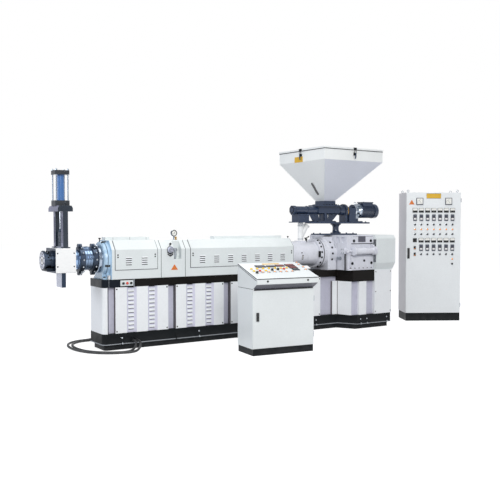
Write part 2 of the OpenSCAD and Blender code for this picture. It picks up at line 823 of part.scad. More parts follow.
// Yoke: a plate with chamfered ends over two side bars, each on a bolted foot
module cylinder_yoke() {
  half = 88;
  shoulder = yoke_h * 0.6;
  chamfer = 16;
  foot_out = 24;
  groove_w = 20;
  groove_d = 7;
  color("#33393f") difference() {
    union() {
      translate([block_x, yoke_w / 2, yoke_z0]) rotate([90, 0, 0]) linear_extrude(yoke_w) polygon([
        [-half, 0], [half, 0], [half, shoulder], [half - chamfer, yoke_h], [-half + chamfer, yoke_h],
        [-half, shoulder]
      ]);
      for (s = [-1, 1]) translate([block_x - bar_x / 2, s * bar_off - bar_y / 2, block_z1]) {
        cube([bar_x, bar_y, bar_l + 1]);
        translate([-foot_out, 0, 0]) cube([bar_x + 2 * foot_out, bar_y, bar_foot_t]);
      }
    }
    translate([block_x, 0, yoke_z0 - 1]) cylinder(r = rod_r + seat_gap, h = yoke_h + 2);
    for (s = [-1, 1])
      translate([block_x - bar_x / 2 - 1, s * bar_off - groove_w / 2, block_z1 + 60])
        cube([groove_d + 1, groove_w, bar_l - 120]);
  }
}

// Water-jacketed barrel between a band and a bolted flange, with a boss under the drop tube
module feed_barrel() {
  band = 14;
  flange = 20;
  flange_l = 40;
  boss_w = 124;
  boss_h = feed_r + 8;
  color("#d5d8de") difference() {
    union() {
      lathe_x(rear_hood_x1, [
        [0, feed_r + band], [26, feed_r + band], [30, feed_r],
        [feed_l - flange_l - 6, feed_r], [feed_l - flange_l, feed_r + flange], [feed_l, feed_r + flange]
      ]);
      translate([chute_x - boss_w / 2, -boss_w / 2, axis_z]) cube([boss_w, boss_w, boss_h]);
    }
    translate([chute_x, 0, axis_z]) cylinder(r = drop_r + seat_gap, h = boss_h + 1);
  }
  color("#2b2f33") bolt_ring(throat_x0 - flange_l - 12, 13, 2 * feed_r + flange, 14, 7, 6);
}

module throat_housing() {
  r = throat_r;
  step = 14;
  cap_w2 = 110;
  foot_in = 20;
  color("#d0d3da") {
    lathe_x(throat_x0, [
      [0, r - step - 10], [10, r - step], [40, r - 8], [46, r],
      [throat_l - 34, r], [throat_l - 24, r - step], [throat_l, r - step]
    ]);
    translate([throat_x0 + 6, -cap_w2, axis_z]) cube([throat_l - 12, 2 * cap_w2, r + 12]);
    translate([throat_x0 + foot_in, -r + foot_in, beam_z1])
      cube([throat_l - 2 * foot_in, 2 * (r - foot_in), axis_z - beam_z1]);
  }
}

// Cast case with a foot flange, a bolted upper band, a lower panel, and ribs and pockets in its end
module gearbox() {
  w = gearbox_w / 2;
  z1 = gearbox_top_z;
  z0 = gearbox_z0;
  band_h = 104;
  band_top = 14;
  panel_h = 190;
  panel_out = gear_foot_out - 4;
  panel_in = band_inset - 14;
  rib_t = 9;
  rib_top = 46;
  pocket_w = 80;
  pocket_h = 92;
  edge = 60;
  color("#d4d7df") difference() {
    union() {
      translate([gearbox_x0, -w, z0 + gear_foot_h - eps])
        cube([gearbox_l, gearbox_w, z1 - z0 - gear_foot_h + eps]);
      translate([gearbox_x0, -w - gear_foot_out, z0])
        cube([gearbox_l, gearbox_w + 2 * gear_foot_out, gear_foot_h]);
      translate([gearbox_x0 + band_inset, -w - gear_band_out, z1 - band_top - band_h])
        cube([gearbox_l - band_inset, gearbox_w + 2 * gear_band_out, band_h]);
      for (s = [0, 1]) mirror([0, s, 0]) translate([gearbox_x0 + panel_in, w, z0 + gear_foot_h])
        rotate([90, 0, 90]) linear_extrude(gearbox_l - panel_in)
          polygon([[-1, -1], [panel_out, -1], [panel_out, panel_h - gear_foot_h],
            [-1, panel_h - gear_foot_h + 24]]);
      for (s = [0, 1], x = [18, 44]) mirror([0, s, 0])
        translate([gearbox_x0 + x, w, z0 + 10]) cube([rib_t, gear_rib_out, z1 - z0 - band_h - rib_top]);
    }
    for (y = [-w + edge, -w + edge + pocket_w + 36, w - edge - pocket_w, w - edge - 2 * pocket_w - 36])
      translate([gearbox_x0 - 1, y, z1 - 28 - pocket_h]) cube([pocket_d + 1, pocket_w, pocket_h]);
  }
}

// Tube cooler with flanged ends, its oil pump block and the pipe down to the foot
module oil_cooler() {
  y = -gearbox_w / 2 - cooler_r;
  x0 = gearbox_x0 + 62;
  end_gap = 3;
  l = gearbox_x1 - end_gap - x0;
  r = cooler_r;
  pump = [52, 66, 76];
  pump_y = -gearbox_w / 2 + 8;
  cap_r = 25;
  cap_l = 54;
  feed_r = 13;
  feed_y = -gearbox_w / 2 - gear_rib_out - feed_r - seat_gap;
  drain_r = 11;
  color("#d9dce2") {
    translate([x0, y, cooler_z]) rotate([0, 90, 0]) {
      cylinder(r = r - 16, h = l);
      cylinder(r = r, h = 22);
      translate([0, 0, 26]) cylinder(r = r, h = 18);
      translate([0, 0, l - 52]) cylinder(r = r - 4, h = 14);
      translate([0, 0, l - 32]) cylinder(r = r, h = 32);
    }
    translate([x0 + 8, y, cooler_z - 30]) cube([30, r, 60]);
    translate([x0 + l - 44, y, cooler_z + 4]) cube([30, r, r + 22]);
    translate([gearbox_x0 - pump[0], pump_y, cooler_z - pump[2] / 2]) cube(pump);
    translate([gearbox_x0 - pump[0] / 2, pump_y + 1, cooler_z]) rotate([90, 0, 0])
      cylinder(r = cap_r, h = cap_l);
    translate([gearbox_x0 - pump[0] / 2, feed_y, cooler_z]) rotate([0, 90, 0])
      cylinder(r = feed_r, h = pump[0] / 2 + x0 - gearbox_x0 + eps);
  }
  color("#1c1e20") translate([gearbox_x0 - pump[0] / 2, pump_y + drain_r + 1, beam_z1])
    cylinder(r = drain_r, h = cooler_z - beam_z1 - pump[2] / 2 + eps);
}

// Overhanging belt guard: sloping underside, chamfered top edges and a closing sheet toward the gearbox
module belt_guard_upper() {
  w = guard_w / 2;
  foot = wide_w / 2 - 20;
  c = guard_chamfer;
  color("#e3e8e8") {
    along_x(guard_x0, guard_l) guard_section(w, foot, beam_z1, gearbox_top_z, c);
    along_x(gearbox_x1 + seat_gap, guard_x0 - gearbox_x1)
      guard_section(w - 8, foot - 14, beam_z1 + seat_gap, gearbox_top_z - 6, c - 4);
  }
}

// Cross-section of the belt guard
module guard_section(w, foot, z0, z1, c) {
  side = c * 0.7;
  polygon([
    [-w, guard_low_z], [-foot, z0], [foot, z0], [w, guard_low_z],
    [w, z1 - c], [w - side, z1], [-w + side, z1], [-w, z1 - c]
  ]);
}

module belt_guard_lower() {
  color("#dcdfe9") translate([gearbox_x1 + eps, -wide_w / 2, plinth_h])
    cube([guard_x0 + guard_l - 35 - gearbox_x1, wide_w, beam_z1 - plinth_h]);
}

pedestal_x = gearbox_x0 + 145;
lower_plate_x0 = gearbox_x0 - 240;
feeder_plate_x0 = gearbox_x0 - 380;
// Turned pillar with a flange at each end, on the lower plate
module feeder_pedestal() {
  z0 = gearbox_top_z + lower_plate_t;
  h = feeder_plate_z - feeder_plate_t - z0;
  flange = 78;
  neck = 46;
  color("#2c3a52") {
    translate([lower_plate_x0, -lower_plate_w / 2, gearbox_top_z])
      cube([lower_plate_l, lower_plate_w, lower_plate_t]);
    translate([pedestal_x, 0, z0 - eps]) rotate_extrude() polygon([
      [0, 0], [flange, 0], [flange, 14], [neck + 14, 24], [neck + 4, 40], [neck, 56],
      [neck, h - 56], [neck + 4, h - 40], [neck + 14, h - 24], [flange, h - 14], [flange, h + eps],
      [0, h + eps]
    ]);
    for (x = [30, lower_plate_l - 60], s = [-1, 1])
      translate([lower_plate_x0 + x, s * (lower_plate_w / 2 - 24), z0 - eps])
        cylinder(r = 12, h = 12, $fn = 6);
  }
}

module feeder_base_plate() {
  w = feeder_plate_w / 2;
  l = feeder_plate_l;
  c = 60;
  color("#2c3a52") translate([feeder_plate_x0, 0, feeder_plate_z - feeder_plate_t])
    linear_extrude(feeder_plate_t)
    polygon([[0, -w + c], [c, -w], [l - c, -w], [l, -w + c], [l, w - c], [l - c, w], [c, w], [0, w - c]]);
}

hopper_x = gearbox_x0 - hopper_back;
collar_h = 46;
saddle_z = feeder_z + 60;
saddle_h = 18;
step_h = 14;
collar_z = saddle_z + saddle_h + step_h + collar_h;
gusset_foot_t = 18;
// Slotted triangular web under the screw housing
module gusset(x0, x1, x2) {
  t = 14;
  top = feeder_z - 44;
  low = feeder_plate_z + gusset_foot_t;
  slot = [x2 - 34, x2 - 26, x2 - 16];
  translate([0, t / 2, 0]) rotate([90, 0, 0]) linear_extrude(t) difference() {
    polygon([[x0, top], [x1, low], [x2, low], [x2, top]]);
    polygon([[slot[2], top - 18], [slot[0], top - 18], [slot[1], low + 22], [slot[2], low + 22]]);
  }
}

// Tube with bands and an octagonal cap, a saddle with the hopper's collar, gussets, and a cone at the drive
module feeder_screw_housing() {
  x0 = chute_x - 130;
  x_end = gearbox_x0 + screw_end;
  band = 14;
  cap_r = feeder_r + 12;
  collar = outlet_w / 2 + 8;
  cradle_w = 144;
  color("#34405a") {
    translate([0, 0, feeder_z]) rotate([0, 90, 0]) {
      translate([0, 0, x0]) cylinder(r = feeder_r, h = x_end - x0);
      for (x = [chute_x - chute_w / 2 - band - 6, chute_x + chute_w / 2 + 6]) translate([0, 0, x])
        cylinder(r = feeder_r + 7, h = band);
      translate([0, 0, x0 - 22]) rotate([0, 0, 22.5]) cylinder(r = cap_r, h = 30, $fn = 8);
      translate([0, 0, x0 - 30]) cylinder(r = feeder_r - 20, h = 20);
      translate([0, 0, x_end - eps]) cylinder(r = feeder_r + 10, h = 22);
      translate([0, 0, x_end - eps]) cylinder(r1 = feeder_r - 4, r2 = feeder_r + 16, h = screw_cone_l);
    }
    translate([hopper_x - 176, -cradle_w / 2, feeder_z - 40]) cube([390, cradle_w, 100 + eps]);
    translate([hopper_x - 205, -140, saddle_z]) cube([410, 280, saddle_h]);
    translate([hopper_x - 128, -122, saddle_z + saddle_h - eps]) cube([256, 244, step_h + 2 * eps]);
    translate([hopper_x - collar, -collar, collar_z - collar_h]) cube([2 * collar, 2 * collar, collar_h]);
    gusset(hopper_x - 310, hopper_x - 236, hopper_x - 96);
    translate([2 * hopper_x, 0, 0]) mirror([1, 0, 0]) gusset(hopper_x - 240, hopper_x - 130, hopper_x - 26);
    translate([hopper_x - 62, -cradle_w / 2 + 2, feeder_plate_z + gusset_foot_t])
      cube([30, cradle_w - 4, feeder_z - feeder_plate_z - 50]);
    translate([hopper_x - 262, -84, feeder_plate_z]) cube([390, 168, gusset_foot_t + eps]);
  }
}

module feeder_chute() {
  flange_t = 14;
  z0 = feeder_plate_z + 5;
  w = chute_w / 2;
  top = feeder_z - feeder_r - seat_gap;
  color("#3a4662") difference() {
    union() {
      translate([chute_x - w + 10, -w, z0]) cube([chute_w - 20, chute_w, top - z0]);
      translate([chute_x - w, -w - 8, top - flange_t]) cube([chute_w, chute_w + 16, flange_t]);
      translate([chute_x - chute_flange / 2, -chute_flange / 2, z0 - flange_t])
        cube([chute_flange, chute_flange, flange_t + eps]);
    }
    translate([chute_x, 0, z0 - flange_t - 1])
      cylinder(r = drop_r - drop_wall, h = top - z0 + flange_t + 2);
  }
}

// Clear drop tube with a slanted filling spout beside it
module drop_tube() {
  z0 = axis_z + 150;
  z1 = feeder_plate_z + 5 - 14;
  spout_r = drop_r - 3;
  spout_l = 190;
  spout_z = axis_z + feed_r + 70;
  lean = 32;
  rim = 14;
  color("#eceff0") difference() {
    union() {
      translate([chute_x, 0, z0]) cylinder(r = drop_r, h = z1 - z0);
      translate([chute_x + 10, 0, spout_z]) rotate([0, lean, 0]) {
        cylinder(r = spout_r, h = spout_l);
        translate([0, 0, spout_l - rim]) cylinder(r = spout_r + 12, h = rim);
      }
    }
    translate([chute_x, 0, z0 - 1]) cylinder(r = drop_r - drop_wall, h = z1 - z0 + 2);
    translate([chute_x + 10, 0, spout_z]) rotate([0, lean, 0])
      cylinder(r = spout_r - drop_wall, h = spout_l + 1);
  }
}

// Coupling guard disc, gear case on its foot, bright motor adapter with a lifting eye
module feeder_reducer() {
  x = gearbox_x0 + screw_end + screw_cone_l + seat_gap;
  case_x = x + case_back;
  adapter_x = case_x + case_l;
  flange = 96;
  case_top = feeder_z + 42;
  disc_t = 34;
  foot_t = 16;
  eye_r = 18;
  color("#2c3a52") {
    translate([x, 0, feeder_z]) rotate([0, 90, 0]) {
      cylinder(r = guard_disc_r, h = disc_t);
      cylinder(r = 58, h = case_back + 10);
    }
    translate([x, -76, feeder_plate_z]) cube([disc_t, 152, feeder_z - feeder_plate_z]);
    translate([case_x, -90, feeder_plate_z]) cube([case_l, 180, case_top - feeder_plate_z]);
    translate([case_x - 10, -106, feeder_plate_z]) cube([260, 212, foot_t]);
    translate([case_x + case_l / 2, 0, case_top - eps]) cylinder(r = 50, h = 16);
    translate([adapter_x, -34, feeder_plate_z + foot_t - 1]) cube([96, 68, feeder_z - feeder_plate_z - 70]);
  }
  color("#c6ced6") {
    translate([adapter_x - eps, 0, feeder_z]) rotate([0, 90, 0]) {
      cylinder(r = flange, h = 22);
      cylinder(r1 = 74, r2 = 60, h = motor_adapter_l - 24);
      translate([0, 0, motor_adapter_l - 24 - eps]) cylinder(r = flange, h = 24);
    }
    translate([adapter_x + 60, 0, feeder_z + 58]) cylinder(r = 9, h = 40);
    translate([adapter_x + 60, 0, feeder_z + 98 + eye_r - 2]) rotate([90, 0, 0]) rotate_extrude()
      translate([eye_r, 0]) circle(r = 5);
  }
}

// Finned motor with a fan cowl and a terminal box
module feeder_motor() {
  x = gearbox_x0 + screw_end + screw_cone_l + case_back + case_l + motor_adapter_l + 2 * seat_gap;
  fin_n = 28;
  fin_t = 5;
  fin_h = 14;
  cowl = 74;
  cowl_edge = 12;
  box = [190, 132, 54];
  color("#26324a") {
    translate([x, 0, feeder_z]) rotate([0, 90, 0]) {
      cylinder(r = motor_r, h = 20);
      cylinder(r = motor_r - 16, h = motor_l);
      for (i = [0 : fin_n - 1])
        rotate([0, 0, i * 360 / fin_n]) translate([motor_r - fin_h - 4, -fin_t / 2, 18])
          cube([fin_h, fin_t, motor_l - cowl - 16]);
      translate([0, 0, motor_l - cowl]) cylinder(r = motor_r, h = cowl - cowl_edge);
      translate([0, 0, motor_l - cowl_edge - eps]) cylinder(r1 = motor_r, r2 = motor_r - 14, h = cowl_edge);
    }
    translate([x + 40, -86, feeder_z + 70]) cube(box);
    translate([x + 34, -92, feeder_z + 70 + box[2] - eps]) cube([box[0] + 12, box[1] + 12, 12]);
  }
}

// Square pyramid ring between two levels, leaning toward +X
module cone_solid(w0, w1, shift, h) {
  polyhedron(
    points = [
      [-w0 / 2, -w0 / 2, 0], [w0 / 2, -w0 / 2, 0], [w0 / 2, w0 / 2, 0], [-w0 / 2, w0 / 2, 0],
      [shift - w1 / 2, -w1 / 2, h], [shift + w1 / 2, -w1 / 2, h], [shift + w1 / 2, w1 / 2, h],
      [shift - w1 / 2, w1 / 2, h]
    ],
    faces = [[0, 1, 2, 3], [4, 7, 6, 5], [0, 4, 5, 1], [1, 5, 6, 2], [2, 6, 7, 3], [3, 7, 4, 0]]
  );
}

module hopper() {
  t = hopper_wall;
  color("#d9e0e0") translate([hopper_x, 0, collar_z]) difference() {
    union() {
      cone_solid(outlet_w, hopper_w, hopper_shift, cone_h);
      translate([hopper_shift - hopper_w / 2, -hopper_w / 2, cone_h - eps])
        cube([hopper_w, hopper_w, rim_h]);
    }
    translate([0, 0, -eps]) cone_solid(outlet_w - 2 * t, hopper_w - 2 * t, hopper_shift, cone_h + 3 * eps);
    translate([hopper_shift - hopper_w / 2 + t, -hopper_w / 2 + t, cone_h])
      cube([hopper_w - 2 * t, hopper_w - 2 * t, rim_h + 1]);
  }
}

// Lid with a hem that stands out past the rim
module hopper_lid() {
  w = hopper_w / 2;
  hem = w + lid_over;
  color("#e6ebeb") translate([hopper_x + hopper_shift, 0, collar_z + cone_h + rim_h]) {
    translate([-w, -w, 0]) cube([hopper_w, hopper_w, lid_seam + eps]);
    translate([-hem, -hem, lid_seam]) cube([2 * hem, 2 * hem, lid_t - lid_seam]);
  }
}

// Hinge knuckles behind the desk lid
module lid_knuckles(on_lid) {
  for (u = [90, desk_w - 90 - 2 * knuckle_h])
    translate([u + (on_lid ? 0 : knuckle_h + seat_gap), desk_d + hinge_out, desk_back_z - lid_hinge_drop]) {
      rotate([0, 90, 0]) cylinder(r = hinge_r, h = knuckle_h);
      if (on_lid) translate([0, -leaf_gap - hinge_out - 1, -3])
        cube([knuckle_h, leaf_gap + hinge_out + 1, 6]);
      else translate([0, -hinge_out - 1, -45]) cube([knuckle_h, hinge_out + 1, 45]);
    }
}

// Hinge knuckles beside a door's right edge: those at even places belong to the door, the others to the box
module hinge_knuckles(x, z0, z1, on_door) {
  for (z = [z0 + 90, z1 - 90 - 2 * knuckle_h])
    translate([x + hinge_out, leaf_t / 2, z + (on_door ? 0 : knuckle_h + seat_gap)]) {
      cylinder(r = hinge_r, h = knuckle_h);
      if (on_door) translate([-leaf_gap - hinge_out - 1, -3, 0])
        cube([leaf_gap + hinge_out + 1, 6, knuckle_h]);
      else translate([-hinge_out, 0, 0]) cube([hinge_out, 45, knuckle_h]);
    }
}

desk_at = [-509, -1433];
desk_turn = -6.35;
module at_desk() {
  translate([desk_at[0], desk_at[1], 0]) rotate([0, 0, desk_turn]) children();
}

module desk_plinth() {
  color("#23282b") at_desk() translate([6, 6, 0]) cube([desk_w - 12, desk_d - 12, desk_plinth_h]);
}

// Side outline of the desk under its lid, in depth and height
module desk_side(t) {
  polygon([
    [t, desk_plinth_h + t], [desk_d - t, desk_plinth_h + t],
    [desk_d - t, desk_back_z - 20 - seat_gap + 2 * t],
    [-desk_lip + t, desk_front_z - 24 - seat_gap + 2 * t], [-desk_lip + t, desk_front_z - 70 + t / 2],
    [t, desk_box_z + t / 2]
  ]);
}

module desk_body() {
  color("#e2e6e8") at_desk() {
    difference() {
      rotate([90, 0, 90]) linear_extrude(desk_w) desk_side(0);
      translate([desk_wall, 0, 0]) rotate([90, 0, 90]) linear_extrude(desk_w - 2 * desk_wall)
        desk_side(desk_wall);
      translate([-1, -1, desk_plinth_h - 1])
        cube([desk_w + 2, leaf_t + seat_gap + 1, desk_door_z1 + leaf_gap - desk_plinth_h + 1]);
    }
    hinge_knuckles(desk_w, desk_door_z0, desk_door_z1, false);
    lid_knuckles(false);
  }
}

module desk_lid() {
  color("#e8ebec") at_desk() {
    intersection() {
      rotate([90, 0, 90]) linear_extrude(desk_w)
        polygon([
          [-desk_lip - 16, desk_front_z - 66], [-desk_lip - seat_gap, desk_front_z - 66],
          [-desk_lip - seat_gap, desk_front_z - 24], [desk_d, desk_back_z - 20],
          [desk_d, desk_back_z], [-desk_lip - 16, desk_front_z]
        ]);
      translate([-1, -desk_d, 0]) cube([desk_w + 2, 2 * desk_d - leaf_gap, desk_back_z + 1]);
    }
    lid_knuckles(true);
  }
}

desk_door_z0 = desk_plinth_h + 4;
desk_door_z1 = desk_box_z - 20;
module desk_door() {
  color("#e6eaec") at_desk() {
    translate([leaf_gap, 0, desk_door_z0])
      cube([desk_w - 2 * leaf_gap, leaf_t, desk_door_z1 - desk_door_z0]);
    hinge_knuckles(desk_w, desk_door_z0, desk_door_z1, true);
  }
  color("#1c1e20") at_desk() translate([45, -14, 400]) cube([30, 15, 95]);
}

cab_at = [3127, -229];
cab_turn = -30.4;
module at_cabinet() {
  translate([cab_at[0], cab_at[1], 0]) rotate([0, 0, cab_turn]) children();
}

module cabinet_plinth() {
  color("#23282b") at_cabinet() translate([5, 5, 0]) cube([cab_w - 10, cab_d - 10, cab_plinth_h]);
}

module cabinet_shell() {
  front = leaf_t + seat_gap;
  color("#dde2e4") at_cabinet() difference() {
    translate([0, front, cab_plinth_h]) cube([cab_w, cab_d - front, cab_h - cab_plinth_h]);
    translate([cab_wall, front - 1, cab_plinth_h + cab_wall])
      cube([cab_w - 2 * cab_wall, cab_d - front - cab_wall + 1, cab_h - cab_plinth_h - 2 * cab_wall]);
  }
  color("#dde2e4") at_cabinet() hinge_knuckles(cab_w, cab_door_z0, cab_door_z1, false);
  color("#b9bec2") at_cabinet() for (x = [40, cab_w - 40], y = [60, cab_d - 60])
    translate([x, y, cab_h - eps]) {
      cylinder(r = 9, h = 12);
      translate([0, 0, 24]) rotate([90, 0, 0]) rotate_extrude() translate([16, 0]) circle(r = 5);
    }
}

cab_door_z0 = cab_plinth_h + leaf_gap;
cab_door_z1 = cab_h - leaf_gap;
module cabinet_door() {
  color("#e6eaec") at_cabinet() {
    translate([leaf_gap, 0, cab_door_z0]) cube([cab_w - 2 * leaf_gap, leaf_t, cab_door_z1 - cab_door_z0]);
    hinge_knuckles(cab_w, cab_door_z0, cab_door_z1, true);
  }
  color("#1c1e20") at_cabinet() translate([20, -16, 980]) cube([34, 17, 160]);
}

// Hose routes, from the plinth's front round the left end and back into the plinth behind
inner_route = [
  [-1470, -252, 112], [-1470, -308, 110], [-1479, -364, 93], [-1510, -414, 61], [-1564, -448, 28],
  [-1640, -458, 17],
  [-1746, -440, 17], [-1854, -386, 17], [-1950, -290, 17], [-2020, -160, 17], [-2054, -10, 17],
  [-2058, 150, 17],
  [-2032, 310, 17], [-1962, 450, 17], [-1848, 538, 17], [-1712, 550, 20], [-1592, 508, 43],
  [-1512, 430, 82],
  [-1474, 340, 109], [-1470, 252, 112]
];
outer_route = [
  [-1425, -252, 112], [-1425, -326, 111], [-1433, -390, 95], [-1462, -448, 62], [-1518, -490, 28],
  [-1600, -506, 17],
  [-1722, -490, 17], [-1852, -436, 17], [-1968, -338, 17], [-2054, -200, 17], [-2102, -30, 17],
  [-2110, 150, 17],
  [-2082, 330, 17], [-2004, 492, 17], [-1872, 592, 17], [-1716, 612, 20], [-1572, 568, 43],
  [-1474, 476, 84],
  [-1430, 364, 110], [-1425, 252, 112]
];

// Smooth curve through the route, n points to a stretch
function spline(p, i, t) =
  let (a = p[max(i - 1, 0)], b = p[i], c = p[i + 1], d = p[min(i + 2, len(p) - 1)])
  0.5 * (2 * b + (c - a) * t + (2 * a - 5 * b + 4 * c - d) * t * t + (3 * b - a - 3 * c + d) * t * t * t);
function smooth(p, n) = concat([for (i = [0 : len(p) - 2], k = [0 : n - 1]) spline(p, i, k / n)],
  [p[len(p) - 1]]);
function unit(v) = v / norm(v);
module hose(route) {
  pts = smooth(route, 2);
  n = len(pts);
  sides = 8;
  rings = [for (i = [0 : n - 1])
    let (
      t = i == 0 ? [0, -1, 0] : i == n - 1 ? [0, -1, 0] : unit(pts[i + 1] - pts[i - 1]),
      u = unit(cross(t, [0, 0, 1])),
      v = cross(u, t)
    )
    for (k = [0 : sides - 1]) pts[i] + hose_d / 2 * (cos(k * 360 / sides) * u + sin(k * 360 / sides) * v)];
  faces = concat(
    [[for (k = [0 : sides - 1]) k]],
    [[for (k = [0 : sides - 1]) (n - 1) * sides + sides - 1 - k]],
    [for (i = [0 : n - 2], k = [0 : sides - 1])
      [i * sides + k, (i + 1) * sides + k, (i + 1) * sides + (k + 1) % sides, i * sides + (k + 1) % sides]]
  );
  color("#17191b") polyhedron(points = rings, faces = faces);
}

base_plinth();
base_core();
base_end_cover();
front_panel(0);  // front_panel_1
front_panel(1);  // front_panel_2
front_panel(2);  // front_panel_3
front_panel(3);  // front_panel_4
rear_panels();
gearbox_base_panels();
top_beam();
start_stop_plate();
front_hood();
front_hood_door();
vent_hood();
vent_port();
pressure_gauge();
rear_hood();
rear_hood_door();
cable_duct();
bell_cover();
barrel_flange();
rear_clamp();
head_adapter();
front_clamp();
screen_block();
die_head();
slide_plate();
rod_coupling();
hydraulic_cylinder();
cylinder_yoke();
feed_barrel();
throat_housing();
gearbox();
oil_cooler();
belt_guard_upper();
belt_guard_lower();
feeder_pedestal();
feeder_base_plate();
feeder_screw_housing();
feeder_chute();
drop_tube();
feeder_reducer();
feeder_motor();
hopper();
hopper_lid();
desk_plinth();
desk_body();
desk_lid();
desk_door();
cabinet_plinth();
cabinet_shell();
cabinet_door();
hose(inner_route);  // hose_inner
hose(outer_route);  // hose_outer
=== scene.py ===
"""Looks of the plastic pelletizing machine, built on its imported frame. Everything is in metres.

X runs along the machine, the front is at -Y and the floor is Z 0, as in the frame.
"""

import math

import bmesh
import bpy
from mathutils import Matrix, Vector


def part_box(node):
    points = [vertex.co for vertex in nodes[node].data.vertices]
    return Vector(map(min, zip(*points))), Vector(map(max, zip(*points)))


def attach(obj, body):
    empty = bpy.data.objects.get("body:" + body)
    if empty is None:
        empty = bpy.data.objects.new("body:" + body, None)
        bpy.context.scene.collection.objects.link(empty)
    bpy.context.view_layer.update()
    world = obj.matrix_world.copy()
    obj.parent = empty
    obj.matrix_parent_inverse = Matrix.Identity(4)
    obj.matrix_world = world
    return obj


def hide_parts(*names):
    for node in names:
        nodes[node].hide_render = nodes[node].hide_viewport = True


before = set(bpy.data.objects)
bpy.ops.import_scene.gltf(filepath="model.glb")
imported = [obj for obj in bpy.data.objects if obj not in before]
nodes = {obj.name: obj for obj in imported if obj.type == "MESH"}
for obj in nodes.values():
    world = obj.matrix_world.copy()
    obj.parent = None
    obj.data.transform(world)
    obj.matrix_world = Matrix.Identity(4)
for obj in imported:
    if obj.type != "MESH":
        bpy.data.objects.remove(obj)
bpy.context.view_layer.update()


# Camera, at the photograph's viewing angle

CAMERA_AT = (-4.829, -8.09, 1.5)
CAMERA_DOWN = 2.04
CAMERA_YAW = 32.75
CAMERA_LENS = 50.32
SENSOR = 36


def make_camera():
    data = bpy.data.cameras.new("camera")
    data.lens = CAMERA_LENS
    data.sensor_width = SENSOR
    data.clip_end = 200
    camera = bpy.data.objects.new("camera", data)
    camera.location = CAMERA_AT
    camera.rotation_euler = (math.radians(90 - CAMERA_DOWN), 0, math.radians(-CAMERA_YAW))
    bpy.context.scene.collection.objects.link(camera)
    bpy.context.scene.camera = camera


# Materials

def node_of(tree, kind, **settings):
    made = tree.nodes.new(kind)
    for key, value in settings.items():
        setattr(made, key, value)
    return made


def noise(tree, coords, scale, detail=3, stretch=(1, 1, 1)):
    """Noise output in the part's own coordinates, stretched along an axis by a small factor there."""
    mapping = node_of(tree, "ShaderNodeMapping")
    mapping.inputs["Scale"].default_value = stretch
    tree.links.new(coords, mapping.inputs["Vector"])
    made = node_of(tree, "ShaderNodeTexNoise")
    made.inputs["Scale"].default_value = scale
    made.inputs["Detail"].default_value = detail
    tree.links.new(mapping.outputs["Vector"], made.inputs["Vector"])
    return made.outputs["Fac"]


def spread(tree, value, low, high, out_low, out_high):
    """Value mapped from one range to another, clamped."""
    made = node_of(tree, "ShaderNodeMapRange")
    for name, number in (("From Min", low), ("From Max", high), ("To Min", out_low), ("To Max", out_high)):
        made.inputs[name].default_value = number
    tree.links.new(value, made.inputs["Value"])
    return made.outputs["Result"]


def mixed(tree, factor, first, second, blend="MIX"):
    """Colour mix; first and second are colours or sockets, factor a number or a socket."""
    made = node_of(tree, "ShaderNodeMix", data_type="RGBA", blend_type=blend)
    for socket, given in ((made.inputs[0], factor), (made.inputs[6], first), (made.inputs[7], second)):
        if isinstance(given, bpy.types.NodeSocket):
            tree.links.new(given, socket)
        elif isinstance(given, (int, float)):
            socket.default_value = given
        else:
            socket.default_value = (*given[:3], 1)
    return made.outputs[2]


def linear(hex_colour):
    """Linear colour of a written #rrggbb colour."""
    values = [int(hex_colour[i:i + 2], 16) / 255 for i in (1, 3, 5)]
    return tuple(v / 12.92 if v <= 0.04045 else ((v + 0.055) / 1.055) ** 2.4 for v in values)


def maths(tree, operation, *values, clamp=False):
    """Math node; each value is a number or a socket."""
    made = node_of(tree, "ShaderNodeMath", operation=operation, use_clamp=clamp)
    for socket, given in zip(made.inputs, values):
        if isinstance(given, bpy.types.NodeSocket):
            tree.links.new(given, socket)
        else:
            socket.default_value = given
    return made.outputs[0]


def height_of(tree, coords):
    split = node_of(tree, "ShaderNodeSeparateXYZ")
    tree.links.new(coords, split.inputs[0])
    return split.outputs["Z"]


def inside(tree, coords, zone):
    """1 inside a zone: ("box", low, high), ("facing", direction, low, high) for faces turned one way
    in a box, or ("round", centre, axis, start, end, inner, outer) for a tube along X or Z.
    """
    def vector(operation, first, second=None):
        made = node_of(tree, "ShaderNodeVectorMath", operation=operation)
        tree.links.new(first, made.inputs[0])
        if second is not None:
            made.inputs[1].default_value = second
        return made

    def within(value, low, high):
        return maths(tree, "COMPARE", value, (low + high) / 2, (high - low) / 2)

    split = node_of(tree, "ShaderNodeSeparateXYZ")
    tree.links.new(coords, split.inputs[0])
    if zone[0] in ("box", "facing"):
        tests = [within(split.outputs[k], zone[-2][k], zone[-1][k]) for k in range(3)]
        if zone[0] == "facing":
            turned = node_of(tree, "ShaderNodeTexCoord").outputs["Normal"]
            toward = vector("DOT_PRODUCT", turned, zone[1])
            tests.append(within(toward.outputs["Value"], FACING_FROM, FACING_TO))
    else:
        centre, axis, start, end, inner, outer = zone[1:]
        off = vector("SUBTRACT", coords, centre)
        flat = vector("MULTIPLY", off.outputs[0], (0, 1, 1) if axis == "X" else (1, 1, 0))
        away = vector("LENGTH", flat.outputs[0])
        tests = [within(split.outputs[axis], start, end), within(away.outputs["Value"], inner, outer)]
    result = tests[0]
    for test in tests[1:]:
        result = maths(tree, "MULTIPLY", result, test)
    return result


def blended(tree, factor, first, second):
    """Number mix; first and second are numbers or sockets."""
    made = node_of(tree, "ShaderNodeMix", data_type="FLOAT")
    tree.links.new(factor, made.inputs[0])
    for socket, given in ((made.inputs[2], first), (made.inputs[3], second)):
        if isinstance(given, bpy.types.NodeSocket):
            tree.links.new(given, socket)
        else:
            socket.default_value = given
    return made.outputs[0]


FACING_FROM = 0.72
FACING_TO = 1.1
BEVEL = 0.0022
DUST_COLOUR = "#8d8f90"
materials = {}


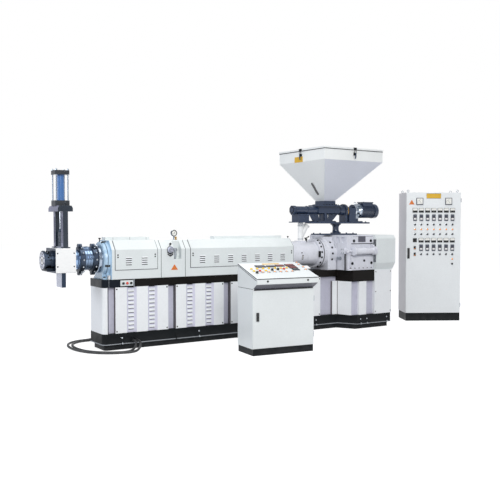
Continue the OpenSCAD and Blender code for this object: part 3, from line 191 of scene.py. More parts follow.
def material(name, colour, rough=0.4, metal=0.0, coat=0.0, mottle=0.05, streak=0.0, dirt=0.0,
             edge=None, edge_reach=(0.02, 0.35), grain=900, grain_depth=0.00012, brushed=None,
             rough_spread=0.08, emission=0.0, dust=0.0, bevel=BEVEL, underside_shade=None, gloss=0.5, zones=()):
    """Painted or bare surface: mottled colour, streaks, dirt, worn edges, dust low down, painted shade toward
    the bottom and a fine grain.

    underside_shade is (height where a painted shade toward the bottom begins, height where it is darkest,
    strength).
    zones is a list of (colour, rough, metal, zone) for other finishes on the same solid, and for painted light
    and shade on some of its faces.
    """
    made = bpy.data.materials.new(name)
    made.use_nodes = True
    tree = made.node_tree
    shader = tree.nodes["Principled BSDF"]
    for socket, number in (("Metallic", metal), ("Coat Weight", coat), ("Coat Roughness", 0.08),
                           ("Specular IOR Level", gloss)):
        shader.inputs[socket].default_value = number
    coords = node_of(tree, "ShaderNodeTexCoord").outputs["Object"]
    base = linear(colour)

    cloud = spread(tree, noise(tree, coords, 1.7, 4), 0.3, 0.7, 1 - mottle, 1 + mottle * 0.5)
    fine = spread(tree, noise(tree, coords, 45, 3), 0.3, 0.7, 1 - mottle * 0.4, 1 + mottle * 0.3)
    rough_at = rough
    metal_at = metal
    tint = base
    for zone_colour, zone_rough, zone_metal, zone in zones:
        mask = inside(tree, coords, zone)
        tint = mixed(tree, mask, tint, linear(zone_colour))
        rough_at = blended(tree, mask, rough_at, zone_rough)
        metal_at = blended(tree, mask, metal_at, zone_metal)
    tint = mixed(tree, 1.0, tint, cloud, "MULTIPLY")
    tint = mixed(tree, 1.0, tint, fine, "MULTIPLY")
    # Painted shade: the colour darkens toward the bottom, to an eighth of itself, between the two given
    # heights.
    if underside_shade:
        wavy = maths(tree, "MULTIPLY_ADD", noise(tree, coords, 11, 3), 0.05, height_of(tree, coords))
        underside_dark = spread(tree, wavy, underside_shade[0] + 0.025, underside_shade[1] + 0.025, 0, underside_shade[2])
        tint = mixed(tree, underside_dark, tint, tuple(c * 0.12 for c in base))
    if streak:
        runs = spread(tree, noise(tree, coords, 22, 4, (1, 1, 0.06)), 0.52, 0.78, 0, streak)
        tint = mixed(tree, runs, tint, tuple(c * 0.72 for c in base))
    if dirt:
        spots = spread(tree, noise(tree, coords, 9, 8), 0.56, 0.78, 0, dirt)
        tint = mixed(tree, spots, tint, tuple(c * 0.45 for c in base))
    if dust:
        low = spread(tree, height_of(tree, coords), 0.0, 0.16, dust, 0)
        patchy = spread(tree, noise(tree, coords, 14, 6), 0.35, 0.65, 0.3, 1)
        tint = mixed(tree, maths(tree, "MULTIPLY", low, patchy), tint, linear(DUST_COLOUR))

    rounded = node_of(tree, "ShaderNodeBevel", samples=4)
    rounded.inputs["Radius"].default_value = bevel
    if edge:
        plain = node_of(tree, "ShaderNodeNewGeometry")
        meet = node_of(tree, "ShaderNodeVectorMath", operation="DOT_PRODUCT")
        tree.links.new(rounded.outputs["Normal"], meet.inputs[0])
        tree.links.new(plain.outputs["Normal"], meet.inputs[1])
        bend = maths(tree, "SUBTRACT", 1.0, meet.outputs["Value"])
        worn = spread(tree, bend, edge_reach[0], edge_reach[1], 0, 0.75)
        rubbed = spread(tree, noise(tree, coords, 30, 6), 0.35, 0.6, 0, 1)
        tint = mixed(tree, maths(tree, "MULTIPLY", worn, rubbed), tint, linear(edge))
    tree.links.new(tint, shader.inputs["Base Color"])

    varied = spread(tree, noise(tree, coords, 7, 5), 0.3, 0.7, -rough_spread, rough_spread)
    tree.links.new(maths(tree, "ADD", varied, rough_at, clamp=True), shader.inputs["Roughness"])
    if zones:
        tree.links.new(metal_at, shader.inputs["Metallic"])

    bump = node_of(tree, "ShaderNodeBump")
    bump.inputs["Strength"].default_value = 0.5
    bump.inputs["Distance"].default_value = grain_depth
    tree.links.new(noise(tree, coords, grain, 2, brushed or (1, 1, 1)), bump.inputs["Height"])
    tree.links.new(rounded.outputs["Normal"], bump.inputs["Normal"])
    tree.links.new(bump.outputs["Normal"], shader.inputs["Normal"])
    if emission:
        shader.inputs["Emission Color"].default_value = (*base, 1)
        shader.inputs["Emission Strength"].default_value = emission
    materials[name] = made
    return made


FAR = 9
EVERYWHERE = ((-FAR, -FAR, -1), (FAR, FAR, FAR))


def span(name):
    """Lowest and highest corner of a node."""
    low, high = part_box(name)
    return Vector(low), Vector(high)


def above(z, top=FAR):
    """Zone over the whole ground, from one height up to another."""
    return "box", (-FAR, -FAR, z), (FAR, FAR, top)


def facing(direction, low=EVERYWHERE[0], high=EVERYWHERE[1]):
    return "facing", direction, low, high


def zone_boxes():
    """Zones of a second finish on one solid, and of painted light and shade on some of its faces, each in the
    material that it belongs to.
    """
    cylinder_low, cylinder_high = span("hydraulic_cylinder")
    coupling_low, coupling_high = span("rod_coupling")
    flange_low, flange_high = span("barrel_flange")
    block_low, block_high = span("screen_block")
    panel_low = span("front_panel_1")[0]
    panel_end = span("front_panel_4")[1].x
    reducer_x = span("feeder_reducer")[0].x
    barrel_end = span("feed_barrel")[1].x
    gearbox_x = span("gearbox")[0].x
    rod = ((coupling_low.x + coupling_high.x) / 2, 0, 0)
    line = (0, 0, (flange_low.z + flange_high.z) / 2)
    lower_cap = cylinder_low.z + LOWER_CAP_H
    tube_top = cylinder_high.z - TIE_ROD_OVER - UPPER_CAP_H
    cap_top = tube_top + UPPER_CAP_H
    proud = -panel_low.y
    cone_top = span("hopper")[1].z - HOPPER_RIM
    black_cap = "#20252b", 0.35, 0.1
    bare_rod = "#aab3bc", 0.25, 1.0
    dark_casting = "#1b1e22", 0.4, 0.4
    return {
        "beam_black": [("#0d1620", 0.3, 0.0,
                        ("box", (-FAR, -FAR, 0), (span("start_stop_plate")[0].x, FAR, FAR)))],
        # Painted light: the yoke's faces turned to -X are a pale lavender, lighter than its dark navy.
        "yoke_black": [("#8d8ea6", 0.3, 0.3, facing((-1, 0, 0)))],
        # Painted light and shade: the slide plate is pale on its ends and top and dark navy on its faces turned
        # to the front and back.
        "slide_steel": [("#2c3b50", 0.25, 0.6, facing((0, side, 0))) for side in (-1, 1)],
        "white_paint": [
            ("#22344c", 0.2, 0.8, facing((-1, 0, 0), (block_low.x - 0.01, -1, 0),
                                         (block_low.x + 0.01, 1, 3))),
            ("#8ea9cc", 0.15, 1.0, ("box", (block_low.x + BLOCK_L, -FAR, 0),
                                    (block_high.x + 0.01, FAR, FAR))),
        ],
        # Painted shade: the cone's face turned to the front and down is a darker, bluer white.
        "hopper_paint": [("#e4e8f2", 0.36, 0.0,
                          facing((0, -FRONT_CONE, -0.5), (-FAR, -FAR, 1), (FAR, 0, cone_top)))],
        "panel_paint": [
            # Painted shade: the pressed strips, which lie back from the panels' face, are a darker lavender.
            ("#dcdcec", 0.42, 0.0, ("box", (panel_low.x + 0.001, 0.0015 - proud, 0),
                                    (panel_end - 0.001, proud - 0.0015, FAR))),
            # Painted shade: the panels' sides turned to -X are a dark grey-brown.
            ("#746f72", 0.6, 0.0, facing((-1, 0, 0), (panel_low.x - 0.001, -proud, 0), (FAR, proud, FAR))),
        ],
        "cylinder_blue": [
            (*black_cap, above(-FAR, lower_cap)),
            (*black_cap, above(tube_top, cap_top)),
            (*bare_rod, ("round", rod, "Z", lower_cap, tube_top, *TIE_ROD_RING)),
            (*bare_rod, above(cap_top)),
        ],
        "coupling_steel": [("#e4eaf0", 0.08, 1.0, above(coupling_low.z + COUPLING_H))],
        "feeder_paint": [("#d3dae2", 0.16, 1.0, ("box", (reducer_x + ADAPTER_FROM, -FAR, CHROME_FROM_Z),
                                               (reducer_x + ADAPTER_TO, FAR, FAR)))],
        "flange_steel": [(*dark_casting, ("box", (-FAR, -FAR, 0), (flange_high.x - FLANGE_T, FAR, FAR)))],
        "casting_paint": [
            (*dark_casting, ("round", line, "X", barrel_end - FEED_FLANGE_L - 0.013,
                             barrel_end - FEED_FLANGE_L - 0.0002, 0.15, 0.30)),
            ("#17191b", 0.4, 0.0, ("box", (gearbox_x - 0.052, -0.46, 0.5),
                                   (gearbox_x - 0.002, -0.36, DRAIN_TOP_Z))),
        ],
        "cabinet_paint": [
            # Painted shade: the cabinet's side turned to -X is a darker grey.
            ("#cfced2", 0.42, 0.0, facing((-1, 0, 0))),
            ("#b4bac0", 0.3, 1.0, above(span("cabinet_shell")[1].z - EYEBOLT_H)),
        ],
    }


BLOCK_L = 0.2375
FRONT_CONE = 0.86
HOPPER_RIM = 0.150
LOWER_CAP_H = 0.062
UPPER_CAP_H = 0.050
TIE_ROD_OVER = 0.020
TIE_ROD_RING = (0.086, 0.108)
COUPLING_H = 0.210
ADAPTER_FROM = 0.1885
ADAPTER_TO = 0.303
CHROME_FROM_Z = 1.6
FLANGE_T = 0.0451
FEED_FLANGE_L = 0.040
DRAIN_TOP_Z = 1.089
EYEBOLT_H = 0.0449


def make_materials():
    zones = zone_boxes()
    material("black_paint", "#101417", rough=0.5, mottle=0.12, dirt=0.2, edge="#4a545c", dust=0.08,
             gloss=0.15)
    material("beam_black", "#100d0a", rough=0.42, mottle=0.12, dirt=0.2, edge="#4c4a48", gloss=0.15,
             zones=zones["beam_black"])
    material("panel_paint", "#f3f6f8", rough=0.42, streak=0.05, dirt=0.06, edge="#f6f7f9",
             zones=zones["panel_paint"])
    material("core_paint", "#c6c6d6", rough=0.5, streak=0.25, dirt=0.3, mottle=0.1)
    material("hood_paint", "#e4eaea", rough=0.38, streak=0.04, edge="#f6f8f8", coat=0.1)
    material("bell_paint", "#b4d4ee", rough=0.2, coat=0.5, mottle=0.12, edge="#f2f8fc")
    material("white_paint", "#fcfdfc", rough=0.35, dirt=0.05, edge="#b9bfc4", zones=zones["white_paint"])
    # Painted light and shade: slide_steel's pale colour is its lit side, its navy zones its shaded side.
    material("slide_steel", "#c3c7d6", rough=0.3, metal=0.4, mottle=0.12, dirt=0.2, edge="#e6e9f0",
             zones=zones["slide_steel"])
    material("louvre_white", "#eef1f3", rough=0.4, mottle=0.03, edge="#fafbfb")
    material("turned_steel", "#a7b4c4", rough=0.2, metal=1.0, mottle=0.15, dirt=0.3, grain=260,
             brushed=(9, 1, 1), edge="#dfe6ee")
    material("flange_steel", "#a7b4c4", rough=0.2, metal=1.0, mottle=0.15, dirt=0.3, grain=260,
             brushed=(9, 1, 1), edge="#dfe6ee", zones=zones["flange_steel"])
    # Painted shade: adapter_steel and dark_steel darken toward the bottom of their round parts.
    material("adapter_steel", "#9cb4d2", rough=0.17, metal=1.0, mottle=0.25, dirt=0.35, grain=240,
             brushed=(9, 1, 1), edge="#e6edf5", underside_shade=(1.12, 1.02, 0.85))
    material("dark_steel", "#4a5668", rough=0.3, metal=0.85, mottle=0.2, dirt=0.4, edge="#93a0b0",
             underside_shade=(1.13, 1.0, 0.8))
    material("coupling_steel", "#46505f", rough=0.3, metal=0.85, mottle=0.2, dirt=0.3, edge="#93a0b0",
             zones=zones["coupling_steel"])
    material("yoke_black", "#222d3a", rough=0.3, mottle=0.2, dirt=0.3, edge="#7e8ca0", coat=0.3,
             zones=zones["yoke_black"])
    material("cylinder_blue", "#4a7ab8", rough=0.25, coat=0.5, mottle=0.1, dirt=0.12, edge="#9dbce0",
             zones=zones["cylinder_blue"])
    material("casting_paint", "#e2e4ec", rough=0.3, coat=0.35, mottle=0.08, dirt=0.15, edge="#f8f8fb",
             grain=160, grain_depth=0.0006, zones=zones["casting_paint"])
    material("feeder_paint", "#2e3c55", rough=0.3, coat=0.45, mottle=0.18, dirt=0.25, edge="#7488a6",
             grain=140, grain_depth=0.0005, zones=zones["feeder_paint"])
    material("hopper_paint", "#f4f7f6", rough=0.36, streak=0.05, mottle=0.04, edge="#f8fafa",
             zones=zones["hopper_paint"])
    material("desk_paint", "#e9eeee", rough=0.38, mottle=0.04, edge="#f6f7f7", coat=0.1)
    material("cabinet_paint", "#f2f6f7", rough=0.4, mottle=0.05, edge="#f4f5f6", grain=500,
             grain_depth=0.0002, zones=zones["cabinet_paint"])
    material("hose_rubber", "#17181a", rough=0.55, mottle=0.3, dirt=0.3, dust=0.25, grain=600,
             grain_depth=0.0004)
    material("black_plastic", "#141516", rough=0.35, mottle=0.1, coat=0.2, edge="#4a4c4e", bevel=0.001)
    material("bolt_black", "#1b1e22", rough=0.4, metal=0.5, mottle=0.2, edge="#7b838c", bevel=0.001)
    material("zinc", "#b8bec4", rough=0.3, metal=1.0, mottle=0.2, edge="#eef1f4", bevel=0.001)
    material("chrome", "#d5dce4", rough=0.08, metal=1.0, mottle=0.05, rough_spread=0.04)
    material("brass", "#c99a3f", rough=0.25, metal=1.0, mottle=0.15, edge="#f0cd7a", bevel=0.001)
    material("shadow_grey", "#3c3e42", rough=0.8, mottle=0.1)
    material("seam_dark", "#5b5e63", rough=0.7, mottle=0.1)
    material("button_red", "#d8432c", rough=0.3, coat=0.4, mottle=0.06, bevel=0.001)
    material("button_yellow", "#f2c400", rough=0.3, coat=0.4, mottle=0.06, bevel=0.001, emission=0.12)
    material("lamp_orange", "#f0973a", rough=0.2, coat=0.6, mottle=0.1, bevel=0.001, emission=0.25)
    material("display_red", "#7c2418", rough=0.3, coat=0.5, mottle=0.25, bevel=0.001, emission=0.2)
    material("display_dark", "#2a2c35", rough=0.15, coat=0.7, mottle=0.2, bevel=0.001)
    material("meter_face", "#f5f5ef", rough=0.5, mottle=0.02, bevel=0.001)
    material("meter_grey", "#5a5a66", rough=0.4, mottle=0.1, bevel=0.001)
    material("plate_orange", "#e07a30", rough=0.3, coat=0.3, mottle=0.1, bevel=0.001)
    material("plate_yellow", "#e3b432", rough=0.35, coat=0.2, mottle=0.08, bevel=0.001)
    material("plate_rim", "#8c7a2a", rough=0.4, metal=0.4, mottle=0.08, bevel=0.001)
    material("unit_grey", "#4e525e", rough=0.4, mottle=0.08, edge="#a5a7b8", bevel=0.001)
    # Painted highlight: the plinth's lip is a light grey, paler than the black plinth.
    material("lip_highlight_grey", "#8f949a", rough=0.45, mottle=0.2, dirt=0.25, edge="#c9cdd1", bevel=0.001)
    material("port_white", "#d3d7e6", rough=0.3, metal=0.3, mottle=0.08, dirt=0.15, edge="#f2f3f8")
    material("edge_shadow", "#24252c", rough=0.8, mottle=0.1)
    material("ring_white", "#f2f0ee", rough=0.3, coat=0.3, mottle=0.03, bevel=0.001)


CAD_FINISH = {
    "black_paint": ["base_plinth", "desk_plinth", "cabinet_plinth"],
    "beam_black": ["top_beam"],
    "panel_paint": ["base_end_cover", "front_panel_1", "front_panel_2", "front_panel_3", "front_panel_4",
                    "rear_panels", "gearbox_base_panels", "belt_guard_lower"],
    "core_paint": ["base_core"],
    "hood_paint": ["front_hood", "front_hood_door", "vent_hood", "rear_hood", "rear_hood_door",
                   "cable_duct", "belt_guard_upper", "start_stop_plate"],
    "bell_paint": ["bell_cover"],
    "white_paint": ["screen_block", "drop_tube"],
    "turned_steel": ["pressure_gauge"],
    "port_white": ["vent_port"],
    "slide_steel": ["slide_plate"],
    "flange_steel": ["barrel_flange"],
    "coupling_steel": ["rod_coupling"],
    "adapter_steel": ["head_adapter"],
    "dark_steel": ["rear_clamp", "front_clamp", "die_head"],
    "yoke_black": ["cylinder_yoke"],
    "cylinder_blue": ["hydraulic_cylinder"],
    "casting_paint": ["feed_barrel", "throat_housing", "gearbox", "oil_cooler"],
    "feeder_paint": ["feeder_pedestal", "feeder_base_plate", "feeder_screw_housing", "feeder_chute",
                     "feeder_reducer", "feeder_motor"],
    "hopper_paint": ["hopper", "hopper_lid"],
    "desk_paint": ["desk_body", "desk_lid", "desk_door"],
    "cabinet_paint": ["cabinet_shell", "cabinet_door"],
    "hose_rubber": ["hose_inner", "hose_outer"],
}


def finish_cad_nodes():
    for finish, names in CAD_FINISH.items():
        for name in names:
            slots = nodes[name].data.materials
            slots.clear()
            slots.append(materials[finish])


# Mesh building

class Shape:
    """Mesh parts in one local frame, joined into one piece."""

    def __init__(self, place=None):
        self.bm = bmesh.new()
        self.place = place or Matrix.Identity(4)

    def loft(self, rings, closed=False, caps=True):
        """Faces between rings of points, and over the two ends."""
        made = [[self.bm.verts.new(self.place @ Vector(p)) for p in ring] for ring in rings]
        pairs = list(zip(made, made[1:]))
        if closed:
            pairs.append((made[-1], made[0]))
        for a, b in pairs:
            count = len(a)
            for k in range(count):
                self.bm.faces.new((a[k], a[(k + 1) % count], b[(k + 1) % count], b[k]))
        if caps and not closed:
            self.bm.faces.new(list(reversed(made[0])))
            self.bm.faces.new(made[-1])
        return self

    def box(self, low, high):
        x0, y0, z0 = low
        x1, y1, z1 = high
        corners = [(x0, y0), (x1, y0), (x1, y1), (x0, y1)]
        return self.loft([[(x, y, z) for x, y in corners] for z in (z0, z1)])

    def side_box(self, side, x, y, z):
        """Box between two x, two heights and two distances from the middle, on one side of it."""
        y0, y1 = sorted((side * y[0], side * y[1]))
        return self.box((x[0], y0, z[0]), (x[1], y1, z[1]))

    def annulus(self, profile, sides=48, closed=True):
        """Ring round the barrel's axis from (x, radius) corners of its section."""
        angles = [2 * math.pi * k / sides for k in range(sides)]
        return self.loft([
            [(x, math.sin(a) * r, AXIS_Z + math.cos(a) * r) for a in angles] for x, r in profile
        ], closed=closed, caps=False)

    def lathe(self, start, axis, profile, sides=24):
        """Round piece: profile is (distance along the axis, radius) from one end to the other."""
        axis = Vector(axis).normalized()
        side = axis.orthogonal().normalized()
        up = axis.cross(side)
        rings = []
        for along, radius in profile:
            centre = Vector(start) + axis * along
            rings.append([
                centre + radius * (math.cos(a) * side + math.sin(a) * up)
                for a in (2 * math.pi * k / sides for k in range(sides))
            ])
        return self.loft(rings)

    def rod(self, start, end, radius, sides=24):
        line = Vector(end) - Vector(start)
        return self.lathe(start, line, [(0, radius), (line.length, radius)], sides)

    def hexagon(self, start, axis, across, height):
        """Hex head, measured across its flats, with a chamfered face."""
        radius = across / math.sqrt(3)
        return self.lathe(start, axis, [(0, radius), (height * 0.8, radius), (height, radius * 0.86)], 6)

    def ball(self, centre, radius, squash=1.0, sides=16):
        rings = [
            (-math.cos(math.pi * k / 8) * radius * squash, max(1e-4, math.sin(math.pi * k / 8) * radius))
            for k in range(9)
        ]
        return self.lathe(centre, (0, 0, 1), rings, sides)

    def prism(self, outline, origin, u, v, depth):
        """Outline in the plane of u and v, pushed along their cross product."""
        u, v = Vector(u), Vector(v)
        push = u.cross(v).normalized() * depth
        flat = [Vector(origin) + a * u + b * v for a, b in outline]
        return self.loft([flat, [p + push for p in flat]])

    def tube(self, points, radius, sides=8, closed=False):
        """Round bar along points."""
        points = [Vector(p) for p in points]
        count = len(points)
        rings = []
        side = None
        for k, point in enumerate(points):
            before = points[k - 1] if closed or k else point
            after = points[(k + 1) % count] if closed or k < count - 1 else point
            along = (after - before).normalized()
            if side is None:
                side = along.orthogonal().normalized()
            side = (side - along * side.dot(along)).normalized()
            up = along.cross(side)
            rings.append([
                point + radius * (math.cos(a) * side + math.sin(a) * up)
                for a in (2 * math.pi * j / sides for j in range(sides))
            ])
        return self.loft(rings, closed=closed)

    def ring(self, centre, axis, radius, thick, sides=32):
        """Round bar bent into a ring."""
        axis = Vector(axis).normalized()
        side = axis.orthogonal().normalized()
        up = axis.cross(side)
        points = [
            Vector(centre) + radius * (math.cos(a) * side + math.sin(a) * up)
            for a in (2 * math.pi * k / sides for k in range(sides))
        ]
        return self.tube(points, thick, 8, closed=True)

    def piece(self, name, finish, body="root", slot=None, bevel=0.0, smooth=35):
        bmesh.ops.recalc_face_normals(self.bm, faces=self.bm.faces)
        mesh = bpy.data.meshes.new(name)
        self.bm.to_mesh(mesh)
        self.bm.free()
        mesh.shade_smooth()
        mesh.set_sharp_from_angle(angle=math.radians(smooth))
        mesh.materials.append(materials[finish])
        made = bpy.data.objects.new(name, mesh)
        bpy.context.scene.collection.objects.link(made)
        if bevel:
            rounding = made.modifiers.new("bevel", "BEVEL")
            rounding.width = bevel
            rounding.segments = 2
            rounding.limit_method = "ANGLE"
            rounding.angle_limit = math.radians(40)
            rounding.harden_normals = True
        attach(made, body)
        return made


# Hoses: the same routes as their solids

HOSE_D = 0.028
INNER_ROUTE = [
    (-1.470, -0.252, 0.112), (-1.470, -0.308, 0.110), (-1.479, -0.364, 0.093), (-1.510, -0.414, 0.061),
    (-1.564, -0.448, 0.028), (-1.640, -0.458, 0.017), (-1.746, -0.440, 0.017), (-1.854, -0.386, 0.017),
    (-1.950, -0.290, 0.017), (-2.020, -0.160, 0.017), (-2.054, -0.010, 0.017), (-2.058, 0.150, 0.017),
    (-2.032, 0.310, 0.017), (-1.962, 0.450, 0.017), (-1.848, 0.538, 0.017), (-1.712, 0.550, 0.020),
    (-1.592, 0.508, 0.043), (-1.512, 0.430, 0.082), (-1.474, 0.340, 0.109), (-1.470, 0.252, 0.112),
]
OUTER_ROUTE = [
    (-1.425, -0.252, 0.112), (-1.425, -0.326, 0.111), (-1.433, -0.390, 0.095), (-1.462, -0.448, 0.062),
    (-1.518, -0.490, 0.028), (-1.600, -0.506, 0.017), (-1.722, -0.490, 0.017), (-1.852, -0.436, 0.017),
    (-1.968, -0.338, 0.017), (-2.054, -0.200, 0.017), (-2.102, -0.030, 0.017), (-2.110, 0.150, 0.017),
    (-2.082, 0.330, 0.017), (-2.004, 0.492, 0.017), (-1.872, 0.592, 0.017), (-1.716, 0.612, 0.020),
    (-1.572, 0.568, 0.043), (-1.474, 0.476, 0.084), (-1.430, 0.364, 0.110), (-1.425, 0.252, 0.112),
]
STEPS = 6


def smooth_route(route):
    """Points of the smooth curve through a route."""
    points = [Vector(p) for p in route]
    last = len(points) - 1
    made = []
    for i in range(last):
        a, b, c, d = points[max(i - 1, 0)], points[i], points[i + 1], points[min(i + 2, last)]
        for k in range(STEPS):
            t = k / STEPS
            made.append(0.5 * (2 * b + (c - a) * t + (2 * a - 5 * b + 4 * c - d) * t * t
                               + (3 * b - a - 3 * c + d) * t ** 3))
    return made + [points[last]]


def make_hose(name, route):
    line = smooth_route(route)
    shape = Shape()
    shape.tube(line, HOSE_D / 2, 20)
    hose = shape.piece(name + "_cover", "hose_rubber", slot="hose_rubber", smooth=60)
    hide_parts(name)


# Places read from the frame

FRONT = (0, -1, 0)
PANELS = [span("front_panel_%d" % i) for i in range(1, 5)]
PLINTH = span("base_plinth")
AXIS_Z = sum(corner.z for corner in span("barrel_flange")) / 2
UP = Vector((0, 0, 1))
RIGHT = Vector((1, 0, 0))


def corner_frame(plinth, inset):
    """Frame of a box that stands turned on its plinth: right along its front, back, and up."""
    points = [nodes[plinth].matrix_world @ v.co for v in nodes[plinth].data.vertices]
    left = min(points, key=lambda p: p.x)
    front = min(points, key=lambda p: p.y)
    right = Vector((front.x - left.x, front.y - left.y, 0)).normalized()
    back = Vector((-right.y, right.x, 0))
    origin = Vector((left.x, left.y, 0)) - inset * right - inset * back
    return Matrix.Translation(origin) @ Matrix((right, back, UP)).transposed().to_4x4()


def screw_head(shape, at, axis, radius=0.007, height=0.004):
    """Low domed screw head, its foot just inside the surface."""
    return shape.lathe(Vector(at) - Vector(axis) * 0.001, axis,
                       [(0, radius), (height * 0.7, radius), (height, radius * 0.72),
                        (height + 0.001, radius * 0.4)], 12)


def hex_bolt(shape, at, axis, across=0.019, height=0.012):
    """Hex head on its washer."""
    at, axis = Vector(at) - Vector(axis) * 0.001, Vector(axis)
    shape.lathe(at, axis, [(0, across * 0.85), (0.003, across * 0.85)], 16)
    return shape.hexagon(at + axis * 0.002, axis, across, height)


# Base

STRIP_W = 0.130
STRIP_SLANT = 0.028
STRIP_D = 0.025
LOUVRES = 10
LOUVRE_W = 0.068
LOUVRE_TOP = 0.058
LOUVRE_STEP = 0.0503
# Height of the painted shadow under each louvre.
SLIT_SHADOW_H = 0.010
LIP = (0.004, 0.010)
LIP_Z0 = 0.07
SCREW_IN = (0.018, 0.022)
STUD_X = (-1.60, -0.55, 0.45, 1.35)
WIDE_STUD_X = (1.96, 2.08, 2.47)


def plinth_outline(out):
    """Outline of the plinth seen from above, closed, moved outward."""
    low, high = PLINTH
    half, wide = -PANELS[0][0].y, high.y
    narrow_end = span("gearbox")[0].x - 0.005
    slant_end = narrow_end + 0.145
    corner = 0.05
    centre = Vector((low.x + corner, -half + corner))
    front = [
        (centre.x - (corner + out) * math.cos(a), centre.y - (corner + out) * math.sin(a))
        for a in (math.pi / 2 * k / 6 for k in range(7))
    ]
    bend = out * 0.45
    front += [(narrow_end + bend, -half - out), (slant_end + bend * 0.5, -wide - out),
              (high.x + out, -wide - out)]
    return front + [(x, -y) for x, y in reversed(front)]


def panel_section(low, high, side):
    """Panel seen from above: a face with two pressed-in strips, and its back."""
    width = high.x - low.x
    thick = high.y - low.y
    flat = (width - 2 * STRIP_W) / 3
    points = [(0, 0)]
    for start in (flat, 2 * flat + STRIP_W):
        points += [(start, 0), (start + STRIP_SLANT, STRIP_D), (start + STRIP_W - STRIP_SLANT, STRIP_D),
                   (start + STRIP_W, 0)]
    points += [(width, 0), (width, thick), (0, thick)]
    return [(low.x + along, side * (-low.y - depth)) for along, depth in points]


def strip_middles(low, high):
    flat = (high.x - low.x - 2 * STRIP_W) / 3
    return [low.x + flat + STRIP_W / 2, low.x + 2 * flat + STRIP_W * 3 / 2]


def louvre(shape, x, face, side, z):
    """Pressed louvre with tapering ends, its mouth at z."""
    half = LOUVRE_W / 2
    profile = [(-0.001, 0.026), (0.005, 0.020), (0.011, 0.010), (0.013, 0.001), (0.011, -0.001),
               (-0.001, 0.003)]
    ends = ((-half - 0.006, 0.05), (-half, 0.8), (-half + 0.004, 1), (half - 0.004, 1), (half, 0.8),
            (half + 0.006, 0.05))
    return shape.loft([[(x + u, face + side * out * full, z + up) for out, up in profile]
                       for u, full in ends])


def make_panels():
    rear, rear_louvres, screws, slots, shadows = Shape(), Shape(), Shape(), Shape(), Shape()
    low_z, high_z = PANELS[0][0].z, PANELS[0][1].z
    for i, (low, high) in enumerate(PANELS):
        for side in (-1, 1):
            front = side < 0
            panel = Shape() if front else rear
            louvres = Shape() if front else rear_louvres
            section = panel_section(low, high, side)
            panel.loft([[(x, y, z) for x, y in section] for z in (low.z, high.z)])
            face = -side * low.y
            depth = -low.y - STRIP_D
            for middle in strip_middles(low, high):
                mouth = middle - LOUVRE_W / 2, middle + LOUVRE_W / 2
                for k in range(LOUVRES):
                    z = high.z - LOUVRE_TOP - k * LOUVRE_STEP
                    louvre(louvres, middle, side * depth, side, z)
                    # Painted shadow: a dark strip on the strip's floor under each louvre's mouth.
                    slots.side_box(side, mouth, (depth, depth + 0.0006), (z - SLIT_SHADOW_H, z + 0.002))
                half = STRIP_W / 2 - STRIP_SLANT
                shadows.side_box(side, (middle - half, middle + half), (depth, depth + 0.0007),
                                 (high.z - 0.011, high.z + 0.0005))
            for x in (low.x + SCREW_IN[0], high.x - SCREW_IN[0]):
                for z in (low.z + SCREW_IN[1], high.z - SCREW_IN[1]):
                    screw_head(screws, (x, face, z), (0, side, 0), 0.0095)
            if front:
                made = panel.piece("panel_skin_%d" % (i + 1), "panel_paint", slot="panel_paint", bevel=0.0015)
                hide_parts("front_panel_%d" % (i + 1))
                louvres.piece("panel_louvres_%d" % (i + 1), "louvre_white", slot="panel_paint")
    made = rear.piece("rear_panel_skins", "panel_paint", slot="panel_paint", bevel=0.0015)
    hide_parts("rear_panels")
    rear_louvres.piece("rear_panel_louvres", "louvre_white", slot="panel_paint")
    slots.piece("louvre_slit_shadows", "edge_shadow", slot="black_paint")
    core_face = -PANELS[0][1].y
    skin = core_face, core_face + 0.0007
    for (_, left), (right, _) in zip(PANELS, PANELS[1:]):
        for side in (-1, 1):
            shadows.side_box(side, (left.x + 0.001, right.x - 0.001), skin, (high_z - 0.016, high_z))
            shadows.side_box(side, (right.x - 0.012, right.x - 0.001), skin, (low_z, high_z))
            shadows.side_box(side, (left.x + 0.001, left.x + 0.006), skin, (low_z, high_z))
    shadows.piece("recess_shadows", "edge_shadow", slot="black_paint")
    return screws


